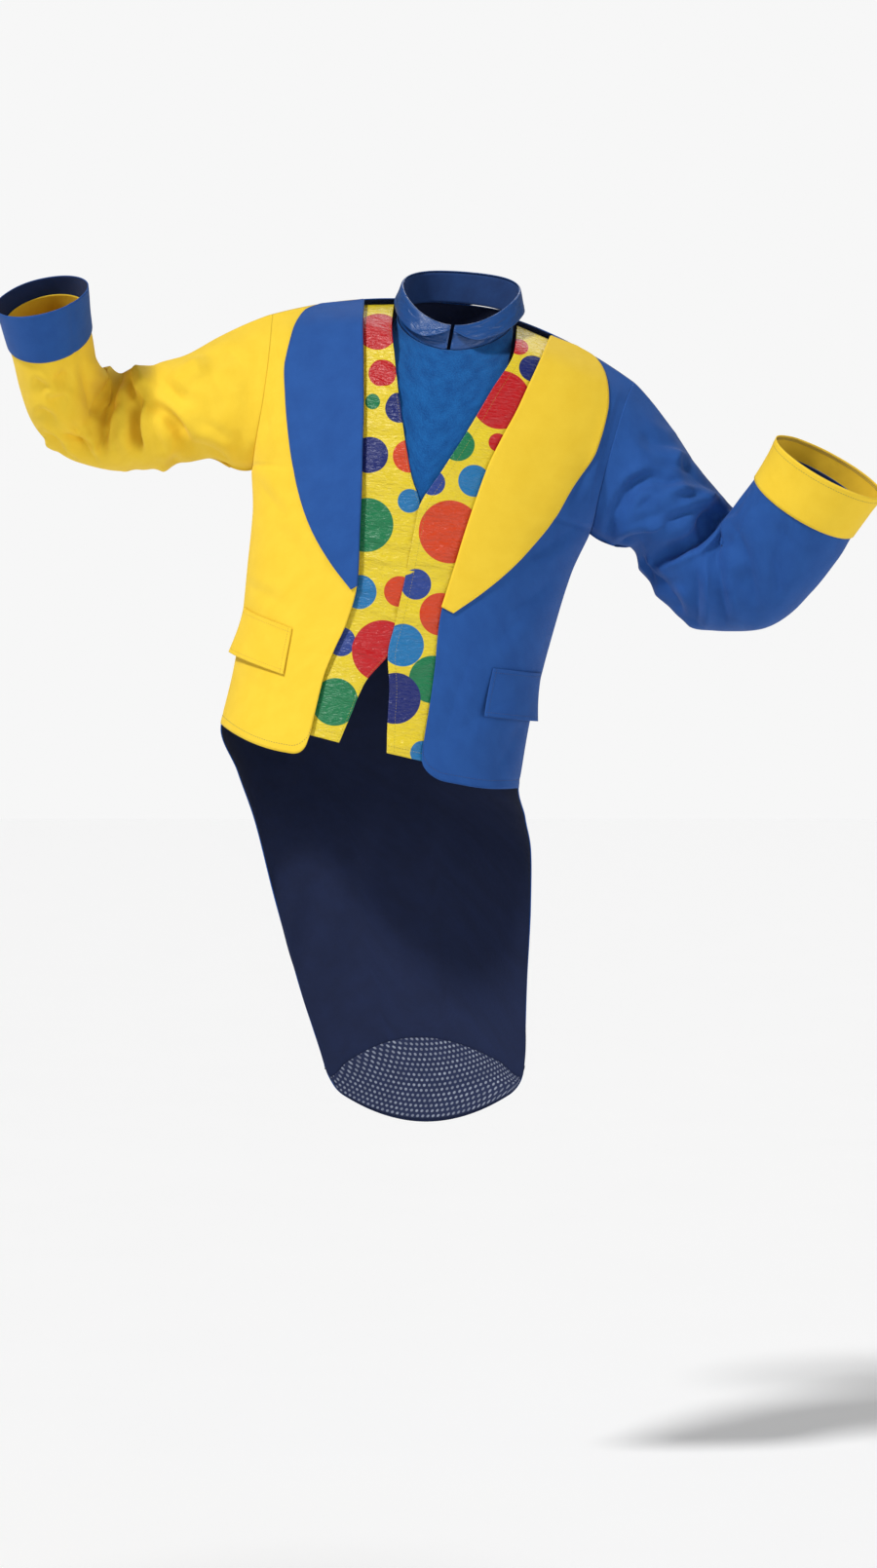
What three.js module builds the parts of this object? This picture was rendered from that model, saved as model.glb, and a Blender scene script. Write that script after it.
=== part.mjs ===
// A two-coloured clown tailcoat as it is worn: hollow, leaning to one side, arms raised.
// Millimetres, +Z up, the fronts face -Y. The origin is between the shoulders at the neck.
// Panels are thin walls of cloth. The body's form is one set of rows from the shoulders to
// the tail's hem, and each piece on a panel is made from the same form, moved in or out.
import * as THREE from 'three';
import { mergeVertices } from 'three/addons/utils/BufferGeometryUtils.js';

const clothThickness = 2;
const satinThickness = 1.5;
const layerGap = 1;
const seamGap = 0.3;

const leanAngle = THREE.MathUtils.degToRad(10.7);
// The back's neck edge follows the collar: part of a circle behind the shoulder seams.
const neckline = { centreX: 2, centreY: -14, radius: 71, rise: 8.2, turn: 0.009 };
const armpitRow = 6;
const frontHemRow = 11;
const lastTrunkRow = 13;
const tailRoundingRow = 15;
const lastRow = 17;
const panelShift = 0.18;
const roundness = 2.3;
const chestCurve = 2.2;
// The rows between which the trunk turns from softly curved to round, and the tail turns flat.
const rounding = { from: 2, to: 8, flatFrom: 12, flatTo: 15 };
const tailHemRise = 46;
const tailCornerStart = 0.86;
const tailCornerRise = 14;

// How far each layer lies outside the coat fronts, whose outer face is the body's form.
const lapelLayer = clothThickness + layerGap;
const leftWaistcoatLayer = -clothThickness - layerGap;
const rightWaistcoatLayer = leftWaistcoatLayer - satinThickness - layerGap;
const shirtLayer = rightWaistcoatLayer - satinThickness - layerGap;

const colours = {
  yellow: 0xf2d233,
  blue: 0x2258a0,
  satin: 0xe8da3a,
  shirtBlue: 0x1d6aa8,
  collarBlue: 0x1f5f9c,
  facingBlue: 0x1c3f7c,
};

// middle and edge: height along the leaning middle line, and at the armhole or side seam.
// half: half the width. shift: the row's middle, sideways. front and back: depth at the middle.
// rimFront and rimBack: depth at the armhole or side seam. swing and upright: how far the
// hanging tail has come back from the lean, in millimetres and in degrees.
const bodyRows = [
  { row: 0, middle: 6, edge: -47, half: 222, shift: 6, front: 0, back: 0, rimFront: 0, rimBack: 0 },
  { row: 1, middle: -42, edge: -76, half: 217, shift: 5, front: 84, back: 86, rimFront: 26, rimBack: 28 },
  { row: 2, middle: -95, edge: -118, half: 212, shift: 5, front: 110, back: 114, rimFront: 46, rimBack: 50 },
  { row: 3, middle: -150, edge: -162, half: 209, shift: 4, front: 127, back: 130, rimFront: 52, rimBack: 56 },
  { row: 4, middle: -194, edge: -202, half: 208, shift: 3, front: 136, back: 134, rimFront: 44, rimBack: 48 },
  { row: 5, middle: -222, edge: -228, half: 208, shift: 3, front: 139, back: 134, rimFront: 20, rimBack: 22 },
  { row: 6, middle: -238, edge: -238, half: 208, shift: 2, front: 140, back: 132, rimFront: 0, rimBack: 0 },
  { row: 7, middle: -290, edge: -290, half: 196, shift: 1, front: 139, back: 124, rimFront: 0, rimBack: 0 },
  { row: 8, middle: -350, edge: -350, half: 190, shift: 0, front: 135, back: 114, rimFront: 0, rimBack: 0 },
  { row: 9, middle: -410, edge: -410, half: 185, shift: 0, front: 132, back: 110, rimFront: 0, rimBack: 0 },
  { row: 10, middle: -475, edge: -475, half: 182, shift: -1, front: 134, back: 122, rimFront: 0, rimBack: 0 },
  { row: 11, middle: -547, edge: -547, half: 184, shift: -2, front: 140, back: 138, rimFront: 0, rimBack: 0 },
  { row: 12, middle: -600, edge: -600, half: 178, shift: -2, front: 143, back: 142, rimFront: 0, rimBack: 35 },
  { row: 13, middle: -651, edge: -651, half: 171, shift: 0, front: 143, back: 140, rimFront: 0, rimBack: 70 },
  { row: 14, middle: -733, edge: -733, half: 160, shift: 0, front: 143, back: 136, rimFront: 0, rimBack: 96 },
  { row: 15, middle: -834, edge: -834, half: 143, shift: 0, front: 143, back: 132, rimFront: 0, rimBack: 106 },
  { row: 16, middle: -946, edge: -946, half: 126, shift: 0, front: 143, back: 128, rimFront: 0, rimBack: 112 },
  { row: 17, middle: -1014, edge: -1014, half: 120, shift: 0, front: 143, back: 126, rimFront: 0, rimBack: 112 },
];
const tailHang = [
  { row: 0, swing: 0, upright: 0 },
  { row: 11, swing: 0, upright: 0 },
  { row: 12, swing: 23, upright: 1.7 },
  { row: 13, swing: 44, upright: 4.7 },
  { row: 14, swing: 70, upright: 7.2 },
  { row: 15, swing: 101, upright: 9.2 },
  { row: 16, swing: 136, upright: 10.7 },
  { row: 17, swing: 152, upright: 10.7 },
];
// The back's columns: even steps at the sides, and finer ones round the neck.
const sideSteps = 20;
const sideColumns = 7;
const neckSteps = 10;
const neckTurn = 1.37;
const besideNeck = 0.36;
const armholeStep = 0.5;
const halvings = 30;
const probe = 0.002;
const settlingRounds = 5;

// A smooth reading between the rows of a table that never overshoots them.
function read(table, key, column, at) {
  const last = table.length - 1;
  const rising = table[last][key] > table[0][key];
  const position = (i) => (rising ? table[i][key] : -table[i][key]);
  const here = rising ? at : -at;
  if (here <= position(0)) return table[0][column];
  if (here >= position(last)) return table[last][column];
  let i = 0;
  while (here > position(i + 1)) i += 1;
  const slope = (k) => (table[k + 1][column] - table[k][column]) / (position(k + 1) - position(k));
  const tangent = (k) => {
    if (k === 0) return slope(0);
    if (k === last) return slope(last - 1);
    const before = slope(k - 1);
    const after = slope(k);
    return before * after <= 0 ? 0 : (2 * before * after) / (before + after);
  };
  const span = position(i + 1) - position(i);
  const s = (here - position(i)) / span;
  const rise = s * s * (3 - 2 * s);
  const leaving = s * (1 - s) * (1 - s) * span * tangent(i);
  const arriving = s * s * (s - 1) * span * tangent(i + 1);
  return table[i][column] * (1 - rise) + table[i + 1][column] * rise + leaving + arriving;
}

function smoothStep(from, to, at) {
  const s = Math.min(Math.max((at - from) / (to - from), 0), 1);
  return s * s * (3 - 2 * s);
}

function mix(a, b, share) {
  return a + (b - a) * share;
}

// A place in the leaning torso's own directions.
function leaned(x, y, z) {
  const c = Math.cos(leanAngle);
  const s = Math.sin(leanAngle);
  return new THREE.Vector3(x * c + z * s, y, z * c - x * s);
}

// How far down the leaning line a point of the body lies: row is a fraction of the table's
// rows, and across runs from -1 to 1, from one side seam to the other.
function heightOnBody(row, across) {
  const middle = read(bodyRows, 'row', 'middle', row);
  const edge = read(bodyRows, 'row', 'edge', row);
  return mix(middle, edge, across * across);
}

function bodyForm(row, across, facing) {
  const value = (column) => read(bodyRows, 'row', column, row);
  const hang = (column) => read(tailHang, 'row', column, row);
  const q = Math.min(Math.abs(across), 1);
  const x = value('shift') + across * value('half');
  const seam = facing < 0 ? -value('rimFront') : value('rimBack');
  const depth = facing < 0 ? -value('front') : value('back');
  const flatCurve = 1 - q ** chestCurve;
  const roundCurve = (1 - q ** roundness) ** (1 / roundness);
  const rounded = smoothStep(rounding.from, rounding.to, row);
  const flattened = smoothStep(rounding.flatFrom, rounding.flatTo, row);
  const bulge = mix(flatCurve, roundCurve, rounded - flattened);
  let y = mix(seam, depth, bulge);
  let rise = heightOnBody(row, across) - value('middle');
  if (facing > 0) {
    const aside = x - neckline.centreX;
    const reach = Math.sqrt(Math.max(0, neckline.radius ** 2 - aside * aside));
    const behind = Math.max(0, neckline.centreY + reach);
    const nearest = Math.sqrt(behind / (neckline.radius + neckline.centreY));
    const share = 1 - smoothStep(0, 1, row);
    y += behind * share;
    rise += neckline.rise * nearest * (1 + neckline.turn * aside) * share;
    const atHem = (Math.max(0, row - tailRoundingRow) / (lastRow - tailRoundingRow)) ** 2;
    const corner = Math.max(0, (q - tailCornerStart) / (1 - tailCornerStart));
    rise += atHem * (tailHemRise * q * q + tailCornerRise * (1 - Math.sqrt(1 - corner * corner)));
  }
  const tilt = leanAngle - THREE.MathUtils.degToRad(hang('upright'));
  const middle = value('middle');
  return new THREE.Vector3(
    middle * Math.sin(leanAngle) + hang('swing') + x * Math.cos(tilt) + rise * Math.sin(tilt),
    y + facing * panelShift,
    middle * Math.cos(leanAngle) - x * Math.sin(tilt) + rise * Math.cos(tilt),
  );
}

// The row of the body that passes through a height at this place across.
function rowAt(across, height) {
  let low = 0;
  let high = lastTrunkRow;
  for (let i = 0; i < halvings; i += 1) {
    const half = (low + high) / 2;
    if (heightOnBody(half, across) > height) low = half;
    else high = half;
  }
  return (low + high) / 2;
}

function normalOf(surface, u, v, sign) {
  const step = probe;
  const du = surface(Math.min(u + step, 1), v).sub(surface(Math.max(u - step, 0), v));
  const dv = surface(u, Math.min(v + step, 1)).sub(surface(u, Math.max(v - step, 0)));
  return du.cross(dv).normalize().multiplyScalar(sign);
}

// The front of the body at a place given sideways and by height, moved out by a distance.
function onFront(x, height, out) {
  const place = (dx, dz) => {
    let across = 0;
    let row = 0;
    for (let i = 0; i < settlingRounds; i += 1) {
      row = rowAt(across, height + dz);
      const half = read(bodyRows, 'row', 'half', row);
      across = (x + dx - read(bodyRows, 'row', 'shift', row)) / half;
      across = Math.min(Math.max(across, -1), 1);
    }
    return bodyForm(row, across, -1);
  };
  const toSide = place(1, 0).sub(place(-1, 0));
  const toTop = place(0, 1).sub(place(0, -1));
  return place(0, 0).addScaledVector(toSide.cross(toTop).normalize(), out);
}

// A closed wall of cloth. surface(u, v) is its outer face, and directions(u, v) may say in
// which direction its edges are cut, so that two walls meet cleanly at a seam.
function clothWall(name, colour, surface, columns, rows, options = {}) {
  const { wall = clothThickness, sign = 1, round = false, cut = null } = options;
  const across = round ? columns.length - 1 : columns.length;
  const positions = [];
  for (const depth of [0, wall]) {
    rows.forEach((v) => {
      for (let i = 0; i < across; i += 1) {
        const u = columns[i];
        const place = surface(u, v);
        if (depth > 0) {
          const inward = cut && cut(u, v) ? cut(u, v) : normalOf(surface, u, v, -sign);
          place.addScaledVector(inward, depth);
        }
        positions.push(place.x, place.y, place.z);
      }
    });
  }
  const layer = across * rows.length;
  const at = (i, j, side) => side * layer + j * across + (i % across);
  const faces = [];
  const quad = (a, b, c, d) => faces.push(a, b, c, a, c, d);
  const spans = columns.length - 1;
  for (let j = 0; j < rows.length - 1; j += 1) {
    for (let i = 0; i < spans; i += 1) {
      quad(at(i, j, 0), at(i + 1, j, 0), at(i + 1, j + 1, 0), at(i, j + 1, 0));
      quad(at(i, j, 1), at(i, j + 1, 1), at(i + 1, j + 1, 1), at(i + 1, j, 1));
    }
  }
  const bottom = rows.length - 1;
  for (let i = 0; i < spans; i += 1) {
    quad(at(i, 0, 0), at(i, 0, 1), at(i + 1, 0, 1), at(i + 1, 0, 0));
    quad(at(i, bottom, 0), at(i + 1, bottom, 0), at(i + 1, bottom, 1), at(i, bottom, 1));
  }
  if (!round) {
    for (let j = 0; j < bottom; j += 1) {
      quad(at(0, j, 0), at(0, j + 1, 0), at(0, j + 1, 1), at(0, j, 1));
      quad(at(spans, j, 0), at(spans, j, 1), at(spans, j + 1, 1), at(spans, j + 1, 0));
    }
  }
  if (sign < 0) faces.reverse();
  const geometry = new THREE.BufferGeometry();
  geometry.setAttribute('position', new THREE.Float32BufferAttribute(positions, 3));
  geometry.setIndex(faces);
  const merged = mergeVertices(geometry, 1e-4);
  merged.computeVertexNormals();
  const roughness = wall < clothThickness ? 0.4 : 0.85;
  const material = new THREE.MeshStandardMaterial({ color: colour, roughness, metalness: 0 });
  const mesh = new THREE.Mesh(merged, material);
  mesh.name = name;
  return mesh;
}

function evenly(count, from = 0, to = 1) {
  return Array.from({ length: count + 1 }, (_, i) => mix(from, to, i / count));
}

const downward = leaned(0, 0, -1);

// Edge tables: x beside the torso's middle line at each height.
const rightFrontEdge = [
  { height: 0, x: -114 },
  { height: -11, x: -113 },
  { height: -55, x: -103 },
  { height: -128, x: -88 },
  { height: -220, x: -72 },
  { height: -300, x: -60 },
  { height: -365, x: -51 },
  { height: -402, x: -55 },
  { height: -440, x: -64 },
  { height: -473, x: -70 },
  { height: -570, x: -74 },
];
const leftFrontEdge = [
  { height: 0, x: 122 },
  { height: -12, x: 121 },
  { height: -57, x: 111 },
  { height: -97, x: 103 },
  { height: -146, x: 88 },
  { height: -193, x: 75 },
  { height: -241, x: 67 },
  { height: -288, x: 62 },
  { height: -336, x: 56 },
  { height: -374, x: 52 },
  { height: -441, x: 57 },
  { height: -487, x: 59 },
  { height: -570, x: 61 },
];
const frontColumns = [0, 0.05, 0.12, 0.2, 0.29, 0.38, 0.47, 0.56, 0.65, 0.74, 0.83, 0.92, 1];
const frontRowsBelowArmpit = [6.5, 7, 7.5, 8, 8.7, 9.4, 10.2, 10.7, frontHemRow];
const hemShapingRow = 9;
const frontHems = {
  right: { atSide: -547, lowest: -567, lowestX: -108, cornerRadius: 24 },
  left: { atSide: -556, lowest: -567, lowestX: 118, cornerRadius: 30 },
};

function frontPanel(name, colour, edge, hem, side) {
  const hemHeight = (x, frontX) => {
    const fromFront = Math.abs(x - frontX);
    const lowest = Math.abs(hem.lowestX);
    const sideX = read(bodyRows, 'row', 'half', frontHemRow);
    const past = Math.max(0, (Math.abs(x) - lowest) / (sideX - lowest));
    const inset = Math.max(0, hem.cornerRadius - fromFront);
    const corner = hem.cornerRadius - Math.sqrt(hem.cornerRadius ** 2 - inset ** 2);
    return mix(hem.lowest, hem.atSide, past * past) + corner;
  };
  const acrossAt = (u, row) => {
    const half = read(bodyRows, 'row', 'half', row);
    const shift = read(bodyRows, 'row', 'shift', row);
    let start = side / 2;
    for (let i = 0; i < settlingRounds; i += 1) {
      start = (read(edge, 'height', 'x', heightOnBody(row, start)) - shift) / half;
    }
    const first = Math.asin(Math.abs(start));
    return side * Math.sin(mix(first, Math.PI / 2, u));
  };
  const surface = (u, v) => {
    const nominal = v * frontHemRow;
    const across = acrossAt(u, Math.min(nominal, frontHemRow));
    const bottomAcross = acrossAt(u, frontHemRow);
    const shift = read(bodyRows, 'row', 'shift', frontHemRow);
    const half = read(bodyRows, 'row', 'half', frontHemRow);
    const bottomX = shift + bottomAcross * half;
    const frontX = shift + acrossAt(0, frontHemRow) * half;
    const hemRow = rowAt(bottomAcross, hemHeight(bottomX, frontX));
    const lower = Math.max(0, (nominal - hemShapingRow) / (frontHemRow - hemShapingRow));
    const row = nominal <= hemShapingRow ? nominal : mix(hemShapingRow, hemRow, lower);
    return bodyForm(row, across, -1);
  };
  const rows = [
    ...evenly(armpitRow / armholeStep, 0, armpitRow / frontHemRow),
    ...frontRowsBelowArmpit.map((row) => row / frontHemRow),
  ];
  const cut = (u, v) => (v === 0 ? downward : null);
  return clothWall(name, colour, surface, frontColumns, rows, { sign: -side, cut });
}

const backColumns = [
  ...evenly(sideColumns, 0, sideColumns / sideSteps),
  columnAt(-besideNeck),
  ...evenly(neckSteps, -neckTurn, neckTurn).map((turn) => {
    const x = neckline.centreX + neckline.radius * Math.sin(turn);
    return columnAt((x - bodyRows[0].shift) / bodyRows[0].half);
  }),
  columnAt(besideNeck),
  ...evenly(sideColumns, 1 - sideColumns / sideSteps, 1),
];
const backRowsBelowArmpit = [7, 8, 9, 10, 11, 11.5, 12, 13, 14, 15, 16, 16.35, 16.7, lastRow];

function columnAt(across) {
  return 0.5 + Math.asin(across) / Math.PI;
}

function backPanel() {
  const surface = (u, v) => {
    const across = Math.sin(mix(-Math.PI / 2, Math.PI / 2, u));
    return bodyForm(v * lastRow, across, 1);
  };
  const rows = [
    ...evenly(armpitRow / armholeStep, 0, armpitRow / lastRow),
    ...backRowsBelowArmpit.map((row) => row / lastRow),
  ];
  const cut = (u, v) => (v === 0 ? downward : null);
  return clothWall('back', colours.blue, surface, backColumns, rows, { cut });
}

// The facing inside the tail's hem: a shaped piece, tall in the middle, thin at the corners.
const facing = {
  middleHeight: 100,
  cornerHeight: 6,
  taper: 0.6,
  reach: 0.85,
  hemInset: 4,
  columns: 18,
  rows: 5,
};
// Steps across and along the rows, for a direction out of the panel at one place.
const acrossProbe = 0.01;
const rowProbe = 0.02;

function outwardAt(across, row, side) {
  const place = (a, r) => bodyForm(r, a, side);
  const toSide = place(across + acrossProbe, row).sub(place(across - acrossProbe, row));
  const toTop = place(across, row - rowProbe).sub(place(across, row + rowProbe));
  return toSide.cross(toTop).normalize();
}

function tailFacing() {
  const rowHeight = (row) => bodyRows[row - 1].middle - bodyRows[row].middle;
  const surface = (u, v) => {
    const across = Math.sin(mix(-1, 1, u) * facing.reach * Math.PI * 0.5);
    const tall = facing.cornerHeight + facing.middleHeight * (1 - across * across) ** facing.taper;
    const raised = facing.hemInset + v * tall;
    const pastLast = Math.max(0, raised - rowHeight(lastRow)) / rowHeight(lastRow - 1);
    const row = lastRow - Math.min(raised / rowHeight(lastRow), 1) - pastLast;
    const inside = clothThickness + layerGap + satinThickness;
    return bodyForm(row, across, 1).addScaledVector(outwardAt(across, row, 1), inside);
  };
  const columns = evenly(facing.columns);
  const rows = evenly(facing.rows);
  return clothWall('tail_facing', colours.facingBlue, surface, columns, rows, { wall: satinThickness });
}

// Arms: the tube's middle line, with its radius in the plane of the bend and across it.
const rightArm = [
  { ring: 0, x: -233, y: 0, z: -100, inPlane: 63, beside: 63 },
  { ring: 1, x: -275, y: 8, z: -108, inPlane: 70, beside: 72 },
  { ring: 2, x: -320, y: 22, z: -118, inPlane: 64, beside: 64 },
  { ring: 3, x: -368, y: 40, z: -127, inPlane: 62, beside: 64 },
  { ring: 4, x: -410, y: 54, z: -131, inPlane: 60, beside: 62 },
  { ring: 5, x: -446, y: 55, z: -126, inPlane: 55, beside: 62 },
  { ring: 6, x: -470, y: 36, z: -109, inPlane: 50, beside: 62 },
  { ring: 7, x: -480, y: 8, z: -86, inPlane: 48, beside: 62 },
  { ring: 8, x: -484, y: -20, z: -60, inPlane: 48, beside: 60 },
  { ring: 9, x: -488, y: -45, z: -33, inPlane: 50, beside: 58 },
  { ring: 10, x: -492, y: -69, z: -4, inPlane: 53, beside: 57 },
];
const leftArm = [
  { ring: 0, x: 182, y: 0, z: -182, inPlane: 63, beside: 63 },
  { ring: 1, x: 222, y: 10, z: -214, inPlane: 70, beside: 70 },
  { ring: 2, x: 261, y: 22, z: -248, inPlane: 63, beside: 62 },
  { ring: 3, x: 293, y: 31, z: -290, inPlane: 70, beside: 62 },
  { ring: 4, x: 322, y: 30, z: -319, inPlane: 73, beside: 60 },
  { ring: 5, x: 350, y: 14, z: -321, inPlane: 72, beside: 56 },
  { ring: 6, x: 378, y: -10, z: -299, inPlane: 70, beside: 52 },
  { ring: 7, x: 400, y: -33, z: -269, inPlane: 70, beside: 48 },
  { ring: 8, x: 419, y: -54, z: -240, inPlane: 68, beside: 45 },
  { ring: 9, x: 432, y: -67, z: -220, inPlane: 68, beside: 43 },
  { ring: 10, x: 444, y: -80, z: -200, inPlane: 70, beside: 42 },
];
const sleeveRings = 24;
const elbowGapRings = 0.007;

// The sleeves' largest folds: troughs pressed in along a line seen from the front or the back.
const rightFolds = [
  { fromX: -410, fromZ: -72, toX: -430, toZ: -168, depth: 9, width: 11, facing: -1 },
  { fromX: -392, fromZ: -88, toX: -386, toZ: -165, depth: 8, width: 11, facing: -1 },
  { fromX: -374, fromZ: -108, toX: -316, toZ: -178, depth: 7, width: 12, facing: -1 },
  { fromX: -330, fromZ: -100, toX: -296, toZ: -142, depth: 5, width: 14, facing: -1 },
  { fromX: -420, fromZ: -116, toX: -455, toZ: -160, depth: 6, width: 12, facing: -1 },
  { fromX: -400, fromZ: -70, toX: -375, toZ: -160, depth: 8, width: 14, facing: 1 },
  { fromX: -340, fromZ: -80, toX: -300, toZ: -150, depth: 6, width: 14, facing: 1 },
];
const leftFolds = [
  { fromX: 186, fromZ: -240, toX: 262, toZ: -190, depth: 7, width: 13, facing: -1 },
  { fromX: 325, fromZ: -250, toX: 250, toZ: -304, depth: 9, width: 12, facing: -1 },
  { fromX: 322, fromZ: -282, toX: 286, toZ: -308, depth: 6, width: 11, facing: -1 },
  { fromX: 230, fromZ: -303, toX: 268, toZ: -340, depth: 6, width: 12, facing: -1 },
  { fromX: 340, fromZ: -325, toX: 364, toZ: -382, depth: 6, width: 13, facing: -1 },
  { fromX: 320, fromZ: -250, toX: 262, toZ: -330, depth: 8, width: 14, facing: 1 },
  { fromX: 345, fromZ: -260, toX: 350, toZ: -350, depth: 6, width: 14, facing: 1 },
];
// Ring numbers where the sleeve ends and the cuff starts and ends. elbow: where the sleeve is
// parted into two solids, so that each is a simple tube, or 0 for one solid. tip: how much further the
// cuff's mouth reaches on one side, whose angle is tipAngle.
const sleeves = {
  right: {
    arm: rightArm,
    folds: rightFolds,
    side: -1,
    elbow: 4.5,
    sleeveEnd: 9.4,
    cuffStart: 8.9,
    cuffEnd: 10,
    tip: 24,
    tipAngle: 210,
  },
  left: {
    arm: leftArm,
    folds: leftFolds,
    side: 1,
    elbow: 0,
    sleeveEnd: 9,
    cuffStart: 7.9,
    cuffEnd: 10,
    tip: 4,
    tipAngle: 0,
  },
};
const cuffRings = 4;
const cuffRise = 2;
const cuffFlare = 1.5;
// Rings over which the armhole's shape turns into the arm's, and over which folds come and go.
const armholeRings = 2;
const foldStartRings = 1.2;
const foldEndRings = 0.8;
const axisProbe = 0.3;
const firstBendRing = 1.5;
const loopPoints = 24;
// A fold fades in before its start and out past its end, as shares of its length.
const foldFade = { from: -0.25, full: 0.2, leaving: 0.8, gone: 1.25, facing: 0.5 };

// How deep the folds press into the cloth at a place whose outward direction is given.
function foldDepth(place, outward, folds) {
  let deepest = 0;
  folds.forEach((fold) => {
    const alongX = fold.toX - fold.fromX;
    const alongZ = fold.toZ - fold.fromZ;
    const length = Math.hypot(alongX, alongZ);
    const dx = place.x - fold.fromX;
    const dz = place.z - fold.fromZ;
    const reach = (dx * alongX + dz * alongZ) / length ** 2;
    const aside = (dx * alongZ - dz * alongX) / length;
    const starts = smoothStep(foldFade.from, foldFade.full, reach);
    const ends = starts * (1 - smoothStep(foldFade.leaving, foldFade.gone, reach));
    const faces = smoothStep(0, foldFade.facing, outward.y * fold.facing);
    deepest += fold.depth * ends * faces * Math.exp(-((aside / fold.width) ** 2));
  });
  return deepest;
}

// The armhole as a closed loop: down the front from the shoulder point and up the back.
function armhole(share, side) {
  const rowsDown = armpitRow * 2 * share;
  const row = rowsDown <= armpitRow ? rowsDown : armpitRow * 2 - rowsDown;
  const facingSide = rowsDown <= armpitRow ? -1 : 1;
  const place = bodyForm(row, side, facingSide);
  const outward = leaned(side, 0, 0);
  return place.addScaledVector(outward, seamGap);
}

function armholeMiddle(side) {
  const middle = new THREE.Vector3();
  for (let i = 0; i < loopPoints; i += 1) {
    middle.addScaledVector(armhole(i / loopPoints, side), 1 / loopPoints);
  }
  return middle;
}

// The arm's surface: u runs round it from the shoulder point, t is the ring number, and out
// is how far outside the sleeve's own face the point lies.
function armTube(sleeve) {
  const { arm, side } = sleeve;
  const lastRing = arm.length - 1;
  const centre = (t) => new THREE.Vector3(
    read(arm, 'ring', 'x', t),
    read(arm, 'ring', 'y', t),
    read(arm, 'ring', 'z', t),
  );
  const along = (t) => {
    const from = centre(Math.max(t - axisProbe, 0));
    const to = centre(Math.min(t + axisProbe, lastRing));
    return to.sub(from).normalize();
  };
  const bend = along(firstBendRing).cross(along(lastRing - 1)).normalize();
  const frame = (t) => {
    const axis = along(t);
    const inPlane = axis.clone().cross(bend).normalize();
    const beside = inPlane.clone().cross(axis).normalize();
    return { axis, inPlane, beside };
  };
  const start = armholeMiddle(side);
  const firstFrame = frame(1);
  return (u, t, out) => {
    const share = u % 1;
    const loopPoint = armhole(share, side);
    const fromStart = loopPoint.clone().sub(start);
    const angle = Math.atan2(fromStart.dot(firstFrame.inPlane), fromStart.dot(firstFrame.beside));
    const { axis, inPlane, beside } = frame(t);
    const radiusIn = read(arm, 'ring', 'inPlane', t) + out;
    const radiusBeside = read(arm, 'ring', 'beside', t) + out;
    const pastCuff = Math.max(0, (t - sleeve.cuffStart) / (sleeve.cuffEnd - sleeve.cuffStart));
    const tipShare = (1 + Math.cos(angle - THREE.MathUtils.degToRad(sleeve.tipAngle))) / 2;
    const ring = centre(t)
      .addScaledVector(beside, Math.cos(angle) * radiusBeside)
      .addScaledVector(inPlane, Math.sin(angle) * radiusIn)
      .addScaledVector(axis, sleeve.tip * tipShare * pastCuff);
    const outward = beside.multiplyScalar(Math.cos(angle)).addScaledVector(inPlane, Math.sin(angle));
    const foldsEnd = smoothStep(sleeve.cuffStart - foldEndRings, sleeve.cuffStart, t);
    const settled = smoothStep(0, foldStartRings, t) * (1 - foldsEnd);
    const sweep = loopPoint.add(centre(t)).sub(centre(0));
    const place = sweep.lerp(ring, smoothStep(0, armholeRings, t));
    return place.addScaledVector(outward, -settled * foldDepth(place, outward, sleeve.folds));
  };
}

function sleevePieces(name, sleeveColour, cuffColour, sleeve) {
  const tube = armTube(sleeve);
  const around = evenly((armpitRow / armholeStep) * 2);
  const stretch = (from, to) => (u, v) => tube(u, mix(from, to, v), 0);
  const cuffSurface = (u, v) => {
    const t = mix(sleeve.cuffStart, sleeve.cuffEnd, v);
    return tube(u, t, cuffRise + layerGap + cuffFlare * v);
  };
  const cut = (u, v) => {
    if (v > 0) return null;
    const towards = armholeMiddle(sleeve.side).sub(armhole(u % 1, sleeve.side));
    const outward = leaned(sleeve.side, 0, 0);
    towards.addScaledVector(outward, -towards.dot(outward));
    return towards.normalize();
  };
  const sign = sleeve.side > 0 ? -1 : 1;
  const upperWall = { sign, round: true, cut };
  const lowerWall = { sign, round: true };
  const cuffWall = { sign, round: true, wall: cuffRise };
  const cuff = clothWall(`${name}_cuff`, cuffColour, cuffSurface, around, evenly(cuffRings), cuffWall);
  if (!sleeve.elbow) {
    const whole = stretch(0, sleeve.sleeveEnd);
    return [clothWall(`${name}_sleeve`, sleeveColour, whole, around, evenly(sleeveRings), upperWall), cuff];
  }
  const rings = evenly(sleeveRings / 2);
  const upper = stretch(0, sleeve.elbow);
  const lower = stretch(sleeve.elbow + elbowGapRings, sleeve.sleeveEnd);
  return [
    clothWall(`${name}_sleeve`, sleeveColour, upper, around, rings, upperWall),
    clothWall(`${name}_sleeve_lower`, sleeveColour, lower, around, rings, lowerWall),
    cuff,
  ];
}

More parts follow.
